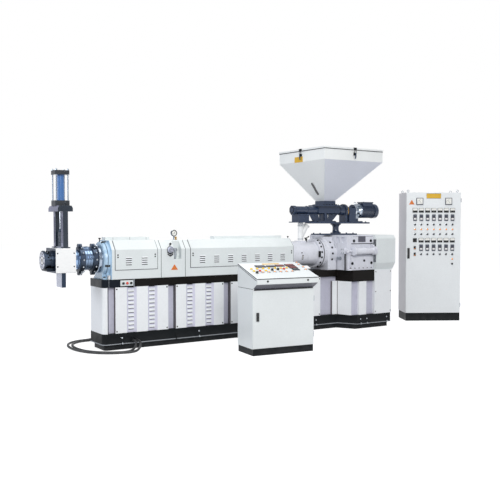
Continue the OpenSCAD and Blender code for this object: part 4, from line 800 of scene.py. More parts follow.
def make_base_details():
    screws = make_panels()
    cover_low, cover_high = span("belt_guard_lower")
    for side in (-1, 1):
        for x in (cover_low.x + 0.022, cover_high.x - 0.022):
            for part in (0.05, 0.5, 0.95):
                z = cover_low.z + part * (cover_high.z - cover_low.z)
                screw_head(screws, (x, side * cover_high.y, z), (0, side, 0), 0.008)
    screws.piece("panel_screws", "bolt_black", slot="black_paint")

    foot = LIP_Z0
    rings = [
        [(x, y, z) for x, y in plinth_outline(out)]
        for out, z in ((0, foot - 0.001), (LIP[0], foot - 0.001), (LIP[0], foot + LIP[1] * 0.6),
                       (0, foot + LIP[1]))
    ]
    # Painted highlight: the lip along the plinth's ledge is a light grey, paler than the black plinth.
    Shape().loft(rings + rings[:1], caps=False).piece("plinth_lip", "lip_highlight_grey", slot="black_paint")

    studs = Shape()
    half = -PANELS[0][0].y
    places = [(x, side * half, side) for x in STUD_X for side in (-1, 1)]
    places += [(x, side * PLINTH[1].y, side) for x in WIDE_STUD_X for side in (-1, 1)]
    for x, y, side in places:
        screw_head(studs, (x, y, 0.145), (0, side, 0), 0.010, 0.006)
        studs.lathe((x, y + side * 0.013, foot), UP,
                    [(0, 0.012), (0.006, 0.012), (0.009, 0.009), (0.022, 0.009)], 6)
    studs.piece("plinth_studs", "zinc", slot="turned_steel")

    ribs = Shape()
    for low, high in PANELS[1::2]:
        for side in (-1, 1):
            y = side * half
            ribs.loft([
                [(x, y - side * 0.001, foot + 0.09), (x, y - side * 0.001, foot), (x, y + side * 0.022, foot)]
                for x in (low.x - 0.003, low.x + 0.003)
            ])
    ribs.piece("plinth_ribs", "black_paint", slot="black_paint")

    plate_low, plate_high = span("start_stop_plate")
    middle = (plate_low + plate_high) / 2
    face = plate_low.y
    caps = ("left", "black_plastic"), ("middle", "button_red"), ("right", "black_plastic")
    for k, (name, finish) in enumerate(caps):
        cap = Shape()
        cap.lathe((middle.x + (k - 1) * 0.05, face + 0.002, middle.z), FRONT,
                  [(0, 0.0165), (0.006, 0.0165), (0.010, 0.0145), (0.013, 0.009)])
        cap.piece("switch_cap_" + name, finish, slot="hood_paint", bevel=0.0006)
    marks = Shape()
    for x in (plate_low.x + 0.008, plate_high.x - 0.008):
        for z in (plate_low.z + 0.009, plate_high.z - 0.009):
            screw_head(marks, (x, face + 0.012, z), (0, -1, 0), 0.0035, 0.002)
    marks.piece("switch_plate_screws", "zinc", slot="turned_steel")

    beam_low, beam_high = span("top_beam")
    seams = Shape()
    step_x = plate_high.x + 0.006
    seams.box((step_x, -half - 0.0035, beam_low.z + 0.067), (step_x + 0.012, -half + 0.001, beam_high.z))
    for x in (beam_low.x + 0.075, 0.1):
        for side in (-1, 1):
            seams.side_box(side, (x, x + 0.004), (half, half + 0.0015), (0.756, beam_high.z - 0.001))
    seams.piece("beam_seams", "lip_highlight_grey", slot="black_paint")


# Hoods

SEAM = 0.0075
SEAM_OUT = 0.0016
DOOR_T = 0.006
SLOT_L = 0.074
SLOT_Z = 1.101
SLOT_STEP = 0.0257
SLOT_ROWS = 4
FRONT_SLOTS = [-1.508, -1.301]
REAR_SLOTS = [-0.497 + 0.21 * k for k in range(7)]
# Section of a louvre: how far it stands out, or -1 at its roots in the sheet, and how high above its slot
HOOD_LOUVRE = [(-1, 0.014), (0.003, 0.012), (0.007, 0.004), (0.006, 0.0025), (-1, 0.006)]


HOOD_HALF = span("front_hood")[1].y
HOOD_TOP = span("front_hood")[1].z
HOOD_SHOULDER = 1.205
HOOD_SLOPE = 0.090


def hood_outline(grow, low_z):
    """Front of the hood section from low_z to its top edge, moved outward, as (distance from the middle, z)."""
    return [(HOOD_HALF + grow, low_z), (HOOD_HALF + grow, HOOD_SHOULDER),
            (HOOD_HALF - HOOD_SLOPE + grow, HOOD_TOP + grow)]


def hood_strip(shape, x0, x1, low_z, out, side=-1):
    """Strip on one side's face and slope of the hood, between two places along it."""
    return shape.loft([
        [(x0, side * a, z), (x1, side * a, z), (x1, side * b, top), (x0, side * b, top)]
        for (a, z), (b, top) in zip(hood_outline(-0.0005, low_z), hood_outline(out, low_z))
    ])


def make_hood_details():
    seams, louvres, dark, screws = Shape(), Shape(), Shape(), Shape()
    for name, groups in (("front_hood_door", FRONT_SLOTS), ("rear_hood_door", REAR_SLOTS)):
        low, high = span(name)
        face = low.y
        skin = hood_strip(Shape(), low.x, high.x, low.z, DOOR_T)
        made = skin.piece(name + "_skin", "hood_paint", slot="hood_paint", bevel=0.001)
        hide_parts(name)
        # Painted shadow: dark strips round the door's sides and foot, where it stands proud of the hood.
        hood_strip(seams, low.x - SEAM, low.x + 0.0005, low.z - SEAM, SEAM_OUT)
        hood_strip(seams, high.x - 0.0005, high.x + SEAM, low.z - SEAM, SEAM_OUT)
        seams.box((low.x - SEAM, -HOOD_HALF - 0.0016, low.z - SEAM),
                  (high.x + SEAM, 0.0005 - HOOD_HALF, low.z + 0.0005))
        for x in groups:
            x0, x1 = x - SLOT_L / 2, x + SLOT_L / 2
            for k in range(SLOT_ROWS):
                z = SLOT_Z - k * SLOT_STEP
                dark.box((x0, face - 0.0007, z - 0.007), (x1, face + 0.0002, z + 0.003))
                louvres.loft([
                    [(px, face + 0.0005 if depth < 0 else face - depth * out, z + up)
                     for depth, up in HOOD_LOUVRE]
                    for px, out in ((x0 - 0.004, 0.05), (x0, 1), (x1, 1), (x1 + 0.004, 0.05))
                ])
        for x in (low.x + 0.030, high.x - 0.030):
            for z in (1.142, 1.115):
                screws.lathe((x, face + 0.001, z), FRONT, [(0, 0.009), (0.004, 0.009), (0.006, 0.006)], 16)
    seams.piece("door_gap_shadows", "seam_dark", slot="hood_paint")
    louvres.piece("hood_louvres", "louvre_white", slot="hood_paint")
    dark.piece("hood_slot_shadows", "edge_shadow", slot="hood_paint")
    screws.piece("door_fasteners", "bolt_black", slot="black_paint")

    joints = Shape()
    low_z = span("front_hood")[0].z
    for x in (span("vent_hood")[0].x - 0.001, span("rear_hood")[0].x - 0.001):
        for side in (-1, 1):
            hood_strip(joints, x - 0.003, x + 0.003, low_z, 0.0012, side)
    joints.piece("hood_joints", "seam_dark", slot="hood_paint")

    ducts = Shape()
    duct_low, duct_high = span("cable_duct")
    for k in range(3):
        x = duct_low.x + 0.10 + k * 0.22
        ducts.box((x, duct_low.y - 0.0008, duct_low.z + 0.002),
                  (x + 0.003, duct_low.y + 0.001, duct_high.z - 0.002))
    ducts.piece("duct_seams", "seam_dark", slot="hood_paint")


# Vent port, gauge and plates on the vent hood

def spiral(centre, turns, start, end, count=40):
    """Points of a flat spiral in the plane of the hood's face."""
    made = []
    for k in range(count):
        part = k / (count - 1)
        angle = turns * 2 * math.pi * part
        radius = start + (end - start) * part
        made.append(Vector(centre) + radius * (math.cos(angle) * RIGHT + math.sin(angle) * UP))
    return made


def make_vent_details():
    low, high = span("vent_port")
    middle = (low + high) / 2
    face = low.y
    hood_y = high.y
    wire = Shape()
    wire.tube(spiral((middle.x, face - 0.002, middle.z), 1.9, 0.007, 0.036), 0.0030, 8)
    wire.piece("vent_spiral", "bolt_black", slot="dark_steel")
    clamp = Shape()
    for drop, reach in ((0.052, 0.040), (0.078, 0.036)):
        z = middle.z - drop
        clamp.loft([
            [(middle.x + u * reach, hood_y - out, z + abs(u) * 0.022 + up)
             for out, up in ((-0.001, -0.007), (0.012, -0.007), (0.012, 0.007), (-0.001, 0.007))]
            for u in (-1, -0.5, 0, 0.5, 1)
        ])
    clamp.ring((middle.x, hood_y - 0.006, middle.z), (0, -1, 0), 0.044, 0.003)
    clamp.piece("vent_clamp", "bolt_black", slot="dark_steel", bevel=0.001)
    knob = Shape()
    knob.lathe((middle.x - 0.010, hood_y + 0.001, middle.z + 0.072), FRONT, [(0, 0.007), (0.018, 0.007)], 12)
    knob.ball((middle.x - 0.010, hood_y - 0.026, middle.z + 0.072), 0.015)
    knob.lathe((middle.x - 0.010, hood_y - 0.012, middle.z + 0.044), UP, [(0, 0.005), (0.024, 0.005)], 10)
    knob.piece("vent_knob", "black_plastic", slot="black_paint")

    alcove_x = span("vent_hood")[0].x + 0.176
    pipe = Shape()
    pipe.tube([(alcove_x + 0.05, -0.150, 1.075), (alcove_x + 0.05, -0.152, 1.14),
               (alcove_x + 0.05, -0.155, 1.20)], 0.016, 16)
    pipe.lathe((alcove_x + 0.05, -0.152, 1.12), UP, [(0, 0.024), (0.02, 0.024)], 6)
    pipe.lathe((alcove_x + 0.05, -0.154, 1.18), UP,
               [(0, 0.030), (0.012, 0.030), (0.016, 0.024), (0.03, 0.024)], 24)
    pipe.piece("vent_pipe", "zinc", slot="turned_steel", bevel=0.0008)

    low, high = span("pressure_gauge")
    radius = (high.x - low.x) / 2
    centre = Vector(((low.x + high.x) / 2, low.y, high.z - radius))
    rim = Shape()
    rim.ring(centre, FRONT, radius - 0.003, 0.005, 40)
    rim.piece("gauge_rim", "bolt_black", slot="dark_steel")
    dial = Shape()
    dial.lathe(centre + Vector((0, 0.001, 0)), FRONT, [(0, radius - 0.004), (0.002, radius - 0.004)], 40)
    dial.piece("gauge_dial", "meter_face", slot="block_steel")
    ticks = Shape()
    for k in range(9):
        angle = math.radians(-45 + 270 * k / 8)
        out = math.cos(angle) * RIGHT + math.sin(angle) * UP
        across = Vector(FRONT).cross(out)
        start = centre + out * (radius * 0.62)
        ticks.loft([
            [start + across * w + out * d + Vector((0, y, 0))
             for w, d in ((-0.0008, 0), (0.0008, 0), (0.0008, radius * 0.16), (-0.0008, radius * 0.16))]
            for y in (-0.0022, -0.0012)
        ])
    ticks.tube([centre + Vector((-0.006, -0.003, -0.008)), centre + Vector((0.016, -0.003, 0.020))], 0.0013,
               6)
    ticks.lathe(centre + Vector((0, -0.001, 0)), FRONT, [(0, 0.004), (0.004, 0.004)], 12)
    ticks.piece("gauge_marks", "black_plastic", slot="black_paint")
    fitting = Shape()
    foot = Vector((centre.x + 0.030, centre.y + 0.014, low.z))
    fitting.lathe(foot, UP, [(0, 0.016), (0.012, 0.016)], 6)
    fitting.lathe(foot + 0.012 * UP, UP, [(0, 0.010), (0.016, 0.010)], 16)
    fitting.lathe(foot + 0.026 * UP, UP, [(0, 0.014), (0.014, 0.014)], 6)
    fitting.rod(foot + Vector((-0.032, 0, 0.033)), foot + Vector((0, 0, 0.033)), 0.006, 12)
    fitting.piece("gauge_fitting", "brass", slot="turned_steel", bevel=0.0006)

    plate = Shape()
    x = alcove_x + 0.005
    plate.loft([
        [(x - 0.048, y, 0.940), (x + 0.048, y, 0.940), (x + 0.004, y, 1.006), (x - 0.004, y, 1.006)]
        for y in (hood_y + 0.001, hood_y - 0.0015)
    ])
    plate.piece("vent_plate", "plate_orange", slot="hood_paint")


# Bell cover

def ring_frame(x, radius, angle):
    """Frame on a ring round the barrel: along X, round the ring, and outward."""
    out = Vector((0, math.sin(angle), math.cos(angle)))
    round_ring = out.cross(RIGHT)
    turn = Matrix((RIGHT, round_ring, out)).transposed().to_4x4()
    return Matrix.Translation(Vector((x, 0, AXIS_Z)) + out * radius) @ turn


def make_bell_details():
    low, high = span("bell_cover")
    radius = 0.214
    groove_x = low.x + 0.039
    groove = Shape()
    groove.lathe((groove_x, 0, AXIS_Z), RIGHT, [(0.0005, radius - 0.0085), (0.0055, radius - 0.0085)], 96)
    groove.piece("bell_groove_seal", "black_plastic", slot="black_paint")

    knob = Shape()
    top = (low.x + 0.017, 0, AXIS_Z + radius - 0.004)
    knob.lathe(top, UP, [(0, 0.010), (0.006, 0.010), (0.006, 0.005), (0.014, 0.005), (0.020, 0.009),
                         (0.026, 0.006),
                         (0.030, 0.006), (0.034, 0.015), (0.044, 0.016), (0.047, 0.012)], 20)
    knob.piece("bell_knob", "black_plastic", slot="black_paint")

    latches = Shape()
    for angle in (-110, -20, 70, 160):
        latches.place = ring_frame(groove_x + 0.003, radius - 0.006, math.radians(angle))
        latches.box((-0.034, -0.011, 0.0), (-0.008, 0.011, 0.010))
        latches.box((0.010, -0.014, 0.002), (0.036, 0.014, 0.013))
        latches.tube([(-0.020, -0.008, 0.010), (0.012, -0.008, 0.014), (0.012, 0.008, 0.014),
                      (-0.020, 0.008, 0.010)], 0.0028, 8, closed=True)
        latches.loft([[(x, -0.009, z), (x, 0.009, z), (x, 0.009, z + 0.004), (x, -0.009, z + 0.004)]
                      for x, z in ((-0.030, 0.012), (0.0, 0.018), (0.024, 0.017))])
    latches.piece("bell_latches", "black_plastic", slot="black_paint", bevel=0.0008)

    feet = Shape()
    beam_z = span("top_beam")[1].z
    for side in (-1, 1):
        for x in (low.x + 0.018, high.x - 0.022):
            hex_bolt(feet, (x, side * 0.145, beam_z + 0.022), UP)
    feet.piece("bell_foot_bolts", "bolt_black", slot="black_paint")
    bracket = Shape()
    bracket.box((low.x + 0.048, -0.205, beam_z), (low.x + 0.072, -0.165, beam_z + 0.050))
    bracket.box((low.x + 0.048, 0.165, beam_z), (low.x + 0.072, 0.205, beam_z + 0.050))
    bracket.piece("bell_brackets", "ring_white", slot="block_steel", bevel=0.002)


# Screen changer, clamps and die

def make_head_details():
    low, high = span("screen_block")
    block_low_x = low.x
    block_high_x = low.x + 0.237
    middle_x = (block_low_x + block_high_x) / 2
    screws = Shape()
    for side in (-1, 1):
        for x in (middle_x - 0.0965, middle_x + 0.0965):
            for z in (low.z + 0.074, high.z - 0.058):
                at = Vector((x, side * 0.179, z))
                screws.lathe(at, (0, side, 0), [(0, 0.0080), (0.0055, 0.0080), (0.0062, 0.0074)], 20)
                screws.lathe(at + Vector((0, side * 0.005, 0)), (0, side, 0), [(0, 0.0040), (0.0018, 0.0040)],
                             6)
    screws.piece("block_screws", "bolt_black", slot="dark_steel")

    seals = Shape()
    for z0, z1 in ((low.z - 0.004, low.z + 0.001), (high.z - 0.001, high.z + 0.004)):
        for y0, y1 in ((-0.112, -0.101), (0.101, 0.112)):
            seals.box((middle_x - 0.040, y0, z0), (middle_x + 0.040, y1, z1))
        for x0, x1 in ((middle_x - 0.040, middle_x - 0.026), (middle_x + 0.026, middle_x + 0.040)):
            seals.box((x0, -0.101, z0), (x1, 0.101, z1))
    seals.piece("slide_guides", "dark_steel", slot="dark_steel", bevel=0.0008)

    die_x = span("die_head")[0].x
    studs = Shape()
    for k in range(-5, 6):
        studs.place = ring_frame(die_x + 0.050 + 0.016 * (k % 2), 0.097, math.radians(k * 17))
        studs.lathe((0, 0, 0), UP, [(0, 0.008), (0.010, 0.008), (0.012, 0.006)], 12)
        studs.lathe((0, 0, 0.011), UP, [(0, 0.004), (0.006, 0.004)], 8)
    studs.piece("die_studs", "bolt_black", slot="dark_steel")
    face = Shape()
    bolt_r = 0.079
    for k in range(8):
        angle = math.radians(22.5 + 45 * k)
        at = Vector((die_x + 0.002, math.sin(angle) * bolt_r, AXIS_Z + math.cos(angle) * bolt_r))
        face.lathe(at, (1, 0, 0), [(0, 0.0078), (0.016, 0.0078)], 20)
        face.lathe(at, (-1, 0, 0), [(0, 0.0110), (0.0042, 0.0110)], 20)
    face.piece("die_face_bolts", "bolt_black", slot="dark_steel")
    disc = Shape()
    disc.annulus([(die_x + 0.0005, 0.098), (die_x - 0.0012, 0.097), (die_x - 0.0012, 0.058),
                  (die_x + 0.0005, 0.057)])
    disc.piece("die_face_ring", "port_white", slot="dark_steel")
    ring = Shape()
    ring.annulus([(die_x + 0.001, 0.046), (die_x - 0.003, 0.044), (die_x - 0.003, 0.024),
                  (die_x + 0.001, 0.0225)],
                 closed=False)
    ring.piece("die_outlet_ring", "ring_white", slot="turned_steel")

    for name in ("rear_clamp", "front_clamp"):
        low, high = span(name)
        x = (low.x + high.x) / 2
        heads = Shape()
        for side in (-1, 1):
            for k in range(1, 6):
                heads.place = ring_frame(x, 0.161, side * math.radians(30 * k))
                heads.lathe((0, 0, -0.001), UP, [(0, 0.010), (0.008, 0.010), (0.010, 0.008)], 16)
                heads.lathe((0, 0, 0.008), UP, [(0, 0.005), (0.003, 0.005)], 6)
        heads.piece(name + "_screws", "zinc", slot="turned_steel")

    lever = Shape()
    low, high = span("front_clamp")
    x = (low.x + high.x) / 2
    lever.tube([(x - 0.012, -0.040, low.z + 0.030), (x - 0.020, -0.075, low.z + 0.012),
                (x + 0.012, -0.120, low.z + 0.050)], 0.006, 10)
    lever.ball((x + 0.012, -0.120, low.z + 0.052), 0.010)
    lever.piece("clamp_lever", "zinc", slot="turned_steel")

    wires = Shape()
    adapter_low, adapter_high = span("head_adapter")
    for k, y in enumerate((-0.018, 0.0, 0.018)):
        x0, x1 = adapter_low.x + 0.012, adapter_high.x - 0.012
        z = adapter_high.z - 0.002
        wires.tube([(x0, y, z), ((x0 + x1) / 2, y, z + 0.006), (x1, y, z)], 0.003, 8)
    wires.piece("heater_leads", "zinc", slot="turned_steel")


# Gearbox and drive

DRUM_L = 0.118


def make_drive_details():
    low, high = span("gearbox")
    band_x = low.x + 0.072
    bolts = Shape()
    for side in (-1, 1):
        y = side * 0.456
        for x in (band_x + 0.035, high.x - 0.050):
            hex_bolt(bolts, (x, y, 1.272), (0, side, 0), 0.026, 0.014)
        for x in (low.x + 0.078, high.x - 0.038):
            hex_bolt(bolts, (x, side * 0.458, 0.949), (0, side, 0), 0.026, 0.014)
        for k in range(6):
            hex_bolt(bolts, (low.x + 0.05 + k * 0.078, side * 0.451, low.z + 0.026), UP, 0.018, 0.012)
    bolts.piece("gearbox_bolts", "bolt_black", slot="black_paint")

    plate = Shape()
    plate.box((low.x + 0.186, -0.4605, 1.255), (low.x + 0.325, -0.4555, 1.341))
    plate.piece("gearbox_plate", "meter_grey", slot="turned_steel", bevel=0.0015)
    # Painted shadow: dark strips in the grooves along the gearbox's bands.
    groove_shadows = Shape()
    for side in (-1, 1):
        y0, y1 = sorted((side * 0.4395, side * 0.4415))
        groove_shadows.box((band_x, y0, 1.226), (high.x - 0.002, y1, 1.2365))
        groove_shadows.box((low.x + 0.060, y0, 1.0645), (high.x - 0.002, y1, 1.070))
        y0, y1 = sorted((side * 0.4555, side * 0.4568))
        groove_shadows.box((band_x + 0.010, y0, 1.333), (high.x - 0.010, y1, 1.336))
    groove_shadows.piece("gearbox_groove_shadows", "shadow_grey", slot="black_paint")

    mesh = Shape()
    x = high.x + 0.0003
    for side in (-1, 1):
        y0, y1 = sorted((side * 0.462, side * 0.516))
        mesh.box((x - 0.0015, y0, 0.960), (x + 0.0005, y1, 1.290))
    mesh.piece("guard_mesh_shadow", "shadow_grey", slot="black_paint")
    wires = Shape()
    for side in (-1, 1):
        y0, y1 = sorted((side * 0.462, side * 0.516))
        for k in range(28):
            z = 0.965 + k * 0.012
            wires.box((x - 0.0035, y0, z), (x - 0.001, y1, z + 0.003))
        for k in range(5):
            y = y0 + 0.002 + k * 0.012
            wires.box((x - 0.004, y, 0.960), (x - 0.0015, y + 0.002, 1.290))
    wires.piece("guard_mesh", "zinc", slot="turned_steel")

    throat_low, throat_high = span("throat_housing")
    ring = Shape()
    for k in range(16):
        angle = 2 * math.pi * (k + 0.5) / 16
        out = Vector((0, math.sin(angle), math.cos(angle)))
        at = Vector((throat_low.x, 0, AXIS_Z)) + out * 0.196
        hex_bolt(ring, at, (-1, 0, 0), 0.022, 0.013)
    ring.piece("throat_bolts", "bolt_black", slot="black_paint")
    caps = Shape()
    for k in range(-2, 3):
        caps.place = ring_frame((throat_low.x + throat_high.x) / 2, 0.226, math.radians(-90 + k * 22))
        caps.lathe((0, 0, 0), UP, [(0, 0.016), (0.006, 0.016), (0.009, 0.012)], 24)
        caps.lathe((0, 0, 0.008), UP, [(0, 0.007), (0.006, 0.007)], 6)
    caps.piece("throat_plugs", "bolt_black", slot="dark_steel")
    handle = Shape()
    handle.place = ring_frame(throat_high.x - 0.040, 0.214, math.radians(-62))
    handle.tube([(0, -0.03, -0.004), (0, -0.03, 0.022), (0, 0.03, 0.022), (0, 0.03, -0.004)], 0.005, 10)
    handle.piece("throat_handle", "zinc", slot="turned_steel")

    barrel_low, barrel_high = span("feed_barrel")
    drum = Shape()
    drum_x = barrel_high.x - DRUM_L
    drum_end = barrel_high.x + 0.002
    drum.annulus([(drum_x, 0.178), (drum_x, 0.206), (drum_x + 0.008, 0.214), (drum_end, 0.214),
                  (drum_end, 0.178)], 72)
    drum.piece("throat_drum", "casting_paint", slot="casting_paint", bevel=0.002)
    drum_bolts = Shape()
    for angle in (30, 46, 62, 84, 104, 126, 150, -30, -60, -84, -104, -126, -150):
        drum_bolts.place = ring_frame(drum_x + 0.028, 0.2135, math.radians(-angle))
        drum_bolts.lathe((0, 0, 0), UP, [(0, 0.014), (0.006, 0.014), (0.009, 0.011)], 24)
        drum_bolts.lathe((0, 0, 0.009), UP, [(0, 0.0065), (0.003, 0.0065)], 6)
    drum_bolts.piece("drum_bolts", "bolt_black", slot="black_paint")
    links = Shape()
    links.place = ring_frame(drum_x - 0.004, 0.190, math.radians(-92))
    links.box((-0.006, -0.045, -0.012), (0.010, 0.045, 0.026))
    links.place = ring_frame(barrel_low.x + 0.20, 0.1755, math.radians(-104))
    links.box((-0.012, -0.035, 0), (0.012, 0.030, 0.004))
    links.place = ring_frame(barrel_low.x + 0.18, 0.1755, math.radians(-84))
    links.lathe((0, 0, 0), UP, [(0, 0.009), (0.006, 0.009), (0.008, 0.006)], 12)
    links.piece("barrel_links", "bolt_black", slot="black_paint", bevel=0.001)
    slot_plate = Shape()
    slot_plate.place = ring_frame(barrel_low.x + 0.20, 0.1790, math.radians(-104))
    slot_plate.box((-0.005, -0.028, 0), (0.005, 0.022, 0.0012))
    slot_plate.piece("barrel_slot_plate", "ring_white", slot="casting_paint")
    valve = Shape()
    x = barrel_low.x + 0.35
    valve.lathe((x, -0.05, AXIS_Z + 0.170), UP, [(0, 0.014), (0.030, 0.014), (0.030, 0.018), (0.050, 0.018)],
                12)
    valve.tube([(x - 0.035, -0.05, AXIS_Z + 0.222), (x, -0.05, AXIS_Z + 0.226),
                (x + 0.040, -0.05, AXIS_Z + 0.240)], 0.006, 8)
    valve.ball((x + 0.044, -0.05, AXIS_Z + 0.242), 0.011)
    valve.piece("feed_valve", "black_plastic", slot="black_paint")
    knob = Shape()
    x = span("rear_hood")[1].x - 0.012
    knob.lathe((x, -0.10, 1.313), UP, [(0, 0.005), (0.016, 0.005), (0.020, 0.013), (0.030, 0.013),
                                       (0.033, 0.009)], 16)
    knob.piece("rear_hood_knob", "black_plastic", slot="black_paint")

    pump = Shape()
    x = low.x - 0.052
    for y in (-0.415, -0.375):
        for z in (1.102, 1.152):
            hex_bolt(pump, (x, y, z), (-1, 0, 0), 0.012, 0.008)
    pump.lathe((low.x + 0.001, -0.290, 1.020), (-1, 0, 0),
               [(0, 0.026), (0.014, 0.026), (0.014, 0.015), (0.044, 0.015), (0.050, 0.022), (0.062, 0.022)],
               20)
    pump.piece("pump_fittings", "zinc", slot="turned_steel", bevel=0.0006)
    sight = Shape()
    sight.lathe((low.x + 0.30, -0.458, 0.985), FRONT, [(0, 0.018), (0.008, 0.018), (0.010, 0.014)], 24)
    sight.piece("oil_sight_glass", "display_dark", slot="turned_steel")


# Feeder

MOTOR_R = 0.11


def make_feeder_details():
    house_low = span("feeder_screw_housing")[0]
    plate_low, plate_high = span("feeder_base_plate")
    disc_low = span("feeder_reducer")[0]
    motor_low, motor_high = span("feeder_motor")
    axis_z = motor_low.z + MOTOR_R
    bolts = Shape()
    for k in range(8):
        for side in (-1, 1):
            x = house_low.x + 0.485 + k * 0.054
            hex_bolt(bolts, (x, side * 0.131, axis_z + 0.078), UP, 0.015, 0.009)
    for x in (plate_low.x + 0.11, plate_low.x + 0.44, plate_high.x - 0.42, plate_high.x - 0.12):
        for side in (-1, 1):
            hex_bolt(bolts, (x, side * 0.098, plate_high.z), UP, 0.018, 0.011)
    for k in range(8):
        angle = 2 * math.pi * (k + 0.5) / 8
        at = Vector((house_low.x + 0.008, math.sin(angle) * 0.046, axis_z + math.cos(angle) * 0.046))
        hex_bolt(bolts, at, (-1, 0, 0), 0.011, 0.007)
    bolts.piece("feeder_bolts", "bolt_black", slot="feeder_paint")

    ring = Shape()
    ring.lathe((disc_low.x + 0.036, 0, axis_z), RIGHT,
               [(0, 0.092), (0.004, 0.096), (0.010, 0.096), (0.014, 0.090)], 48)
    ring.piece("coupling_ring", "brass", slot="turned_steel")

    studs = Shape()
    adapter_x = disc_low.x + 0.188
    for k in range(8):
        angle = 2 * math.pi * (k + 0.5) / 8
        out = Vector((0, math.sin(angle), math.cos(angle)))
        for x, way in ((adapter_x + 0.022, 1), (adapter_x + 0.090, -1)):
            hex_bolt(studs, Vector((x, 0, axis_z)) + out * 0.082, (way, 0, 0), 0.014, 0.009)
    studs.piece("adapter_bolts", "zinc", slot="turned_steel")

    box = Shape()
    box.lathe((motor_low.x + 0.235, -0.03, axis_z + 0.100), RIGHT,
              [(0, 0.011), (0.016, 0.011), (0.016, 0.014), (0.026, 0.014)], 12)
    for dx in (0.044, 0.225):
        for y in (-0.084, 0.046):
            screw_head(box, (motor_low.x + dx, y, motor_high.z), UP, 0.006)
    box.piece("terminal_box_fittings", "zinc", slot="turned_steel")
    grille = Shape()
    for k in range(5):
        grille.ring((motor_high.x - 0.0005, 0, axis_z), RIGHT, 0.022 + k * 0.016, 0.0028, 40)
    for k in range(6):
        angle = math.pi * k / 6
        out = Vector((0, math.sin(angle), math.cos(angle)))
        at = Vector((motor_high.x, 0, axis_z))
        grille.rod(at - out * 0.088, at + out * 0.088, 0.0024, 8)
    grille.piece("motor_fan_grille", "feeder_paint", slot="feeder_paint")

    band = Shape()
    chute_x = span("drop_tube")[0].x + 0.038
    for z in (1.300, 1.490):
        band.ring((chute_x, 0, z), UP, 0.040, 0.005)
        band.lathe((chute_x, -0.040, z), FRONT, [(0, 0.006), (0.014, 0.006)], 8)
    band.piece("drop_tube_bands", "zinc", slot="turned_steel")


# Hopper

PLATE_Y = 0.060
PLATE_Z = 2.4445
PLATE_W = 0.196
PLATE_H = 0.079


def make_hopper_details():
    low, high = span("hopper")
    lid_low, lid_high = span("hopper_lid")
    middle = (lid_low + lid_high) / 2
    half = (high.x - low.x) / 2
    seam_z = lid_low.z
    gasket = Shape()
    out = half + 0.0035
    gasket.loft([
        [(middle.x - r, -r, z), (middle.x + r, -r, z), (middle.x + r, r, z), (middle.x - r, r, z)]
        for r, z in ((half - 0.001, seam_z - 0.004), (out, seam_z - 0.004), (out, seam_z + 0.006),
                     (half - 0.001, seam_z + 0.006))
    ], closed=True)
    gasket.piece("hopper_gasket", "shadow_grey", slot="black_paint")

    latches = Shape()
    handles = Shape()
    for turn in range(4):
        frame_here = Matrix.Translation((middle.x, 0, 0)) @ Matrix.Rotation(math.pi / 2 * turn, 4, "Z")
        latches.place = handles.place = frame_here
        y = -half
        latches.box((-0.022, y - 0.020, lid_high.z - 0.004), (0.022, y + 0.004, lid_high.z + 0.003))
        latches.box((-0.018, y - 0.030, lid_high.z - 0.026), (0.018, y - 0.006, lid_high.z + 0.001))
        latches.tube([(-0.014, y - 0.020, lid_high.z - 0.012), (-0.014, y - 0.024, seam_z - 0.050),
                      (0.014, y - 0.024, seam_z - 0.050), (0.014, y - 0.020, lid_high.z - 0.012)], 0.004, 8,
                      closed=True)
        latches.box((-0.020, y - 0.020, seam_z - 0.075), (0.020, y + 0.001, seam_z - 0.040))
        handles.loft([
            [(-0.009, a, z), (0.009, a, z), (0.009, a + 0.006, z), (-0.009, a + 0.006, z)]
            for a, z in ((y - 0.030, seam_z - 0.045), (y - 0.034, seam_z - 0.085),
                         (y - 0.022, seam_z - 0.125))
        ])
    latches.piece("hopper_latches", "bolt_black", slot="black_paint", bevel=0.001)
    handles.piece("hopper_latch_levers", "dark_steel", slot="dark_steel", bevel=0.001)

    plate = Shape()
    plate_x = middle.x - half
    plate.box((plate_x - 0.002, PLATE_Y - PLATE_W / 2, PLATE_Z - PLATE_H / 2),
              (plate_x + 0.001, PLATE_Y + PLATE_W / 2, PLATE_Z + PLATE_H / 2))
    plate.piece("hopper_plate", "plate_yellow", slot="hopper_paint", bevel=0.0006)

    seams = Shape()
    cone_top = high.z - 0.15
    for sx in (-1, 1):
        for sy in (-1, 1):
            corner = Vector((middle.x + sx * half, sy * half, 0))
            seams.tube([corner + cone_top * UP, corner + (high.z - 0.012) * UP], 0.0025, 8)
            outlet = Vector((middle.x - 0.092 + sx * 0.098, sy * 0.098, low.z))
            seams.tube([corner + cone_top * UP, outlet], 0.0028, 8)
    seams.piece("hopper_corner_welds", "hopper_paint", slot="hopper_paint")

    slot_shape = Shape()
    foot = Vector((middle.x - 0.092 - 0.098, 0, low.z))
    top = Vector((middle.x - half, 0, cone_top))
    up = (top - foot).normalized()
    side = Vector((0, -1, 0))
    out = side.cross(up) if side.cross(up).x < 0 else up.cross(side)
    lean = (up + Vector((0, 1, 0)) * 0.12).normalized()
    start = foot + up * 0.205 + side * 0.020
    across = out.cross(lean)
    outline = [(-0.095, -0.010), (-0.085, -0.017), (0.085, -0.017), (0.095, -0.010), (0.095, 0.010),
               (0.085, 0.017), (-0.085, 0.017), (-0.095, 0.010)]
    slot_shape.prism(outline, start - out * 0.001, lean, across, 0.003)
    slot_shape.piece("hopper_sight_glass", "display_dark", slot="black_paint")
    frame_piece = Shape()
    edge = [start + lean * a * 1.05 + across * b * 1.15 + out * 0.002 for a, b in outline]
    frame_piece.tube(edge, 0.0035, 8, closed=True)
    for k in range(9):
        at = start + lean * (-0.08 + 0.02 * k) + out * 0.003
        frame_piece.tube([at - across * 0.016, at + across * 0.016], 0.0018, 6)
    frame_piece.piece("hopper_sight_frame", "black_plastic", slot="black_paint")


# Control desk

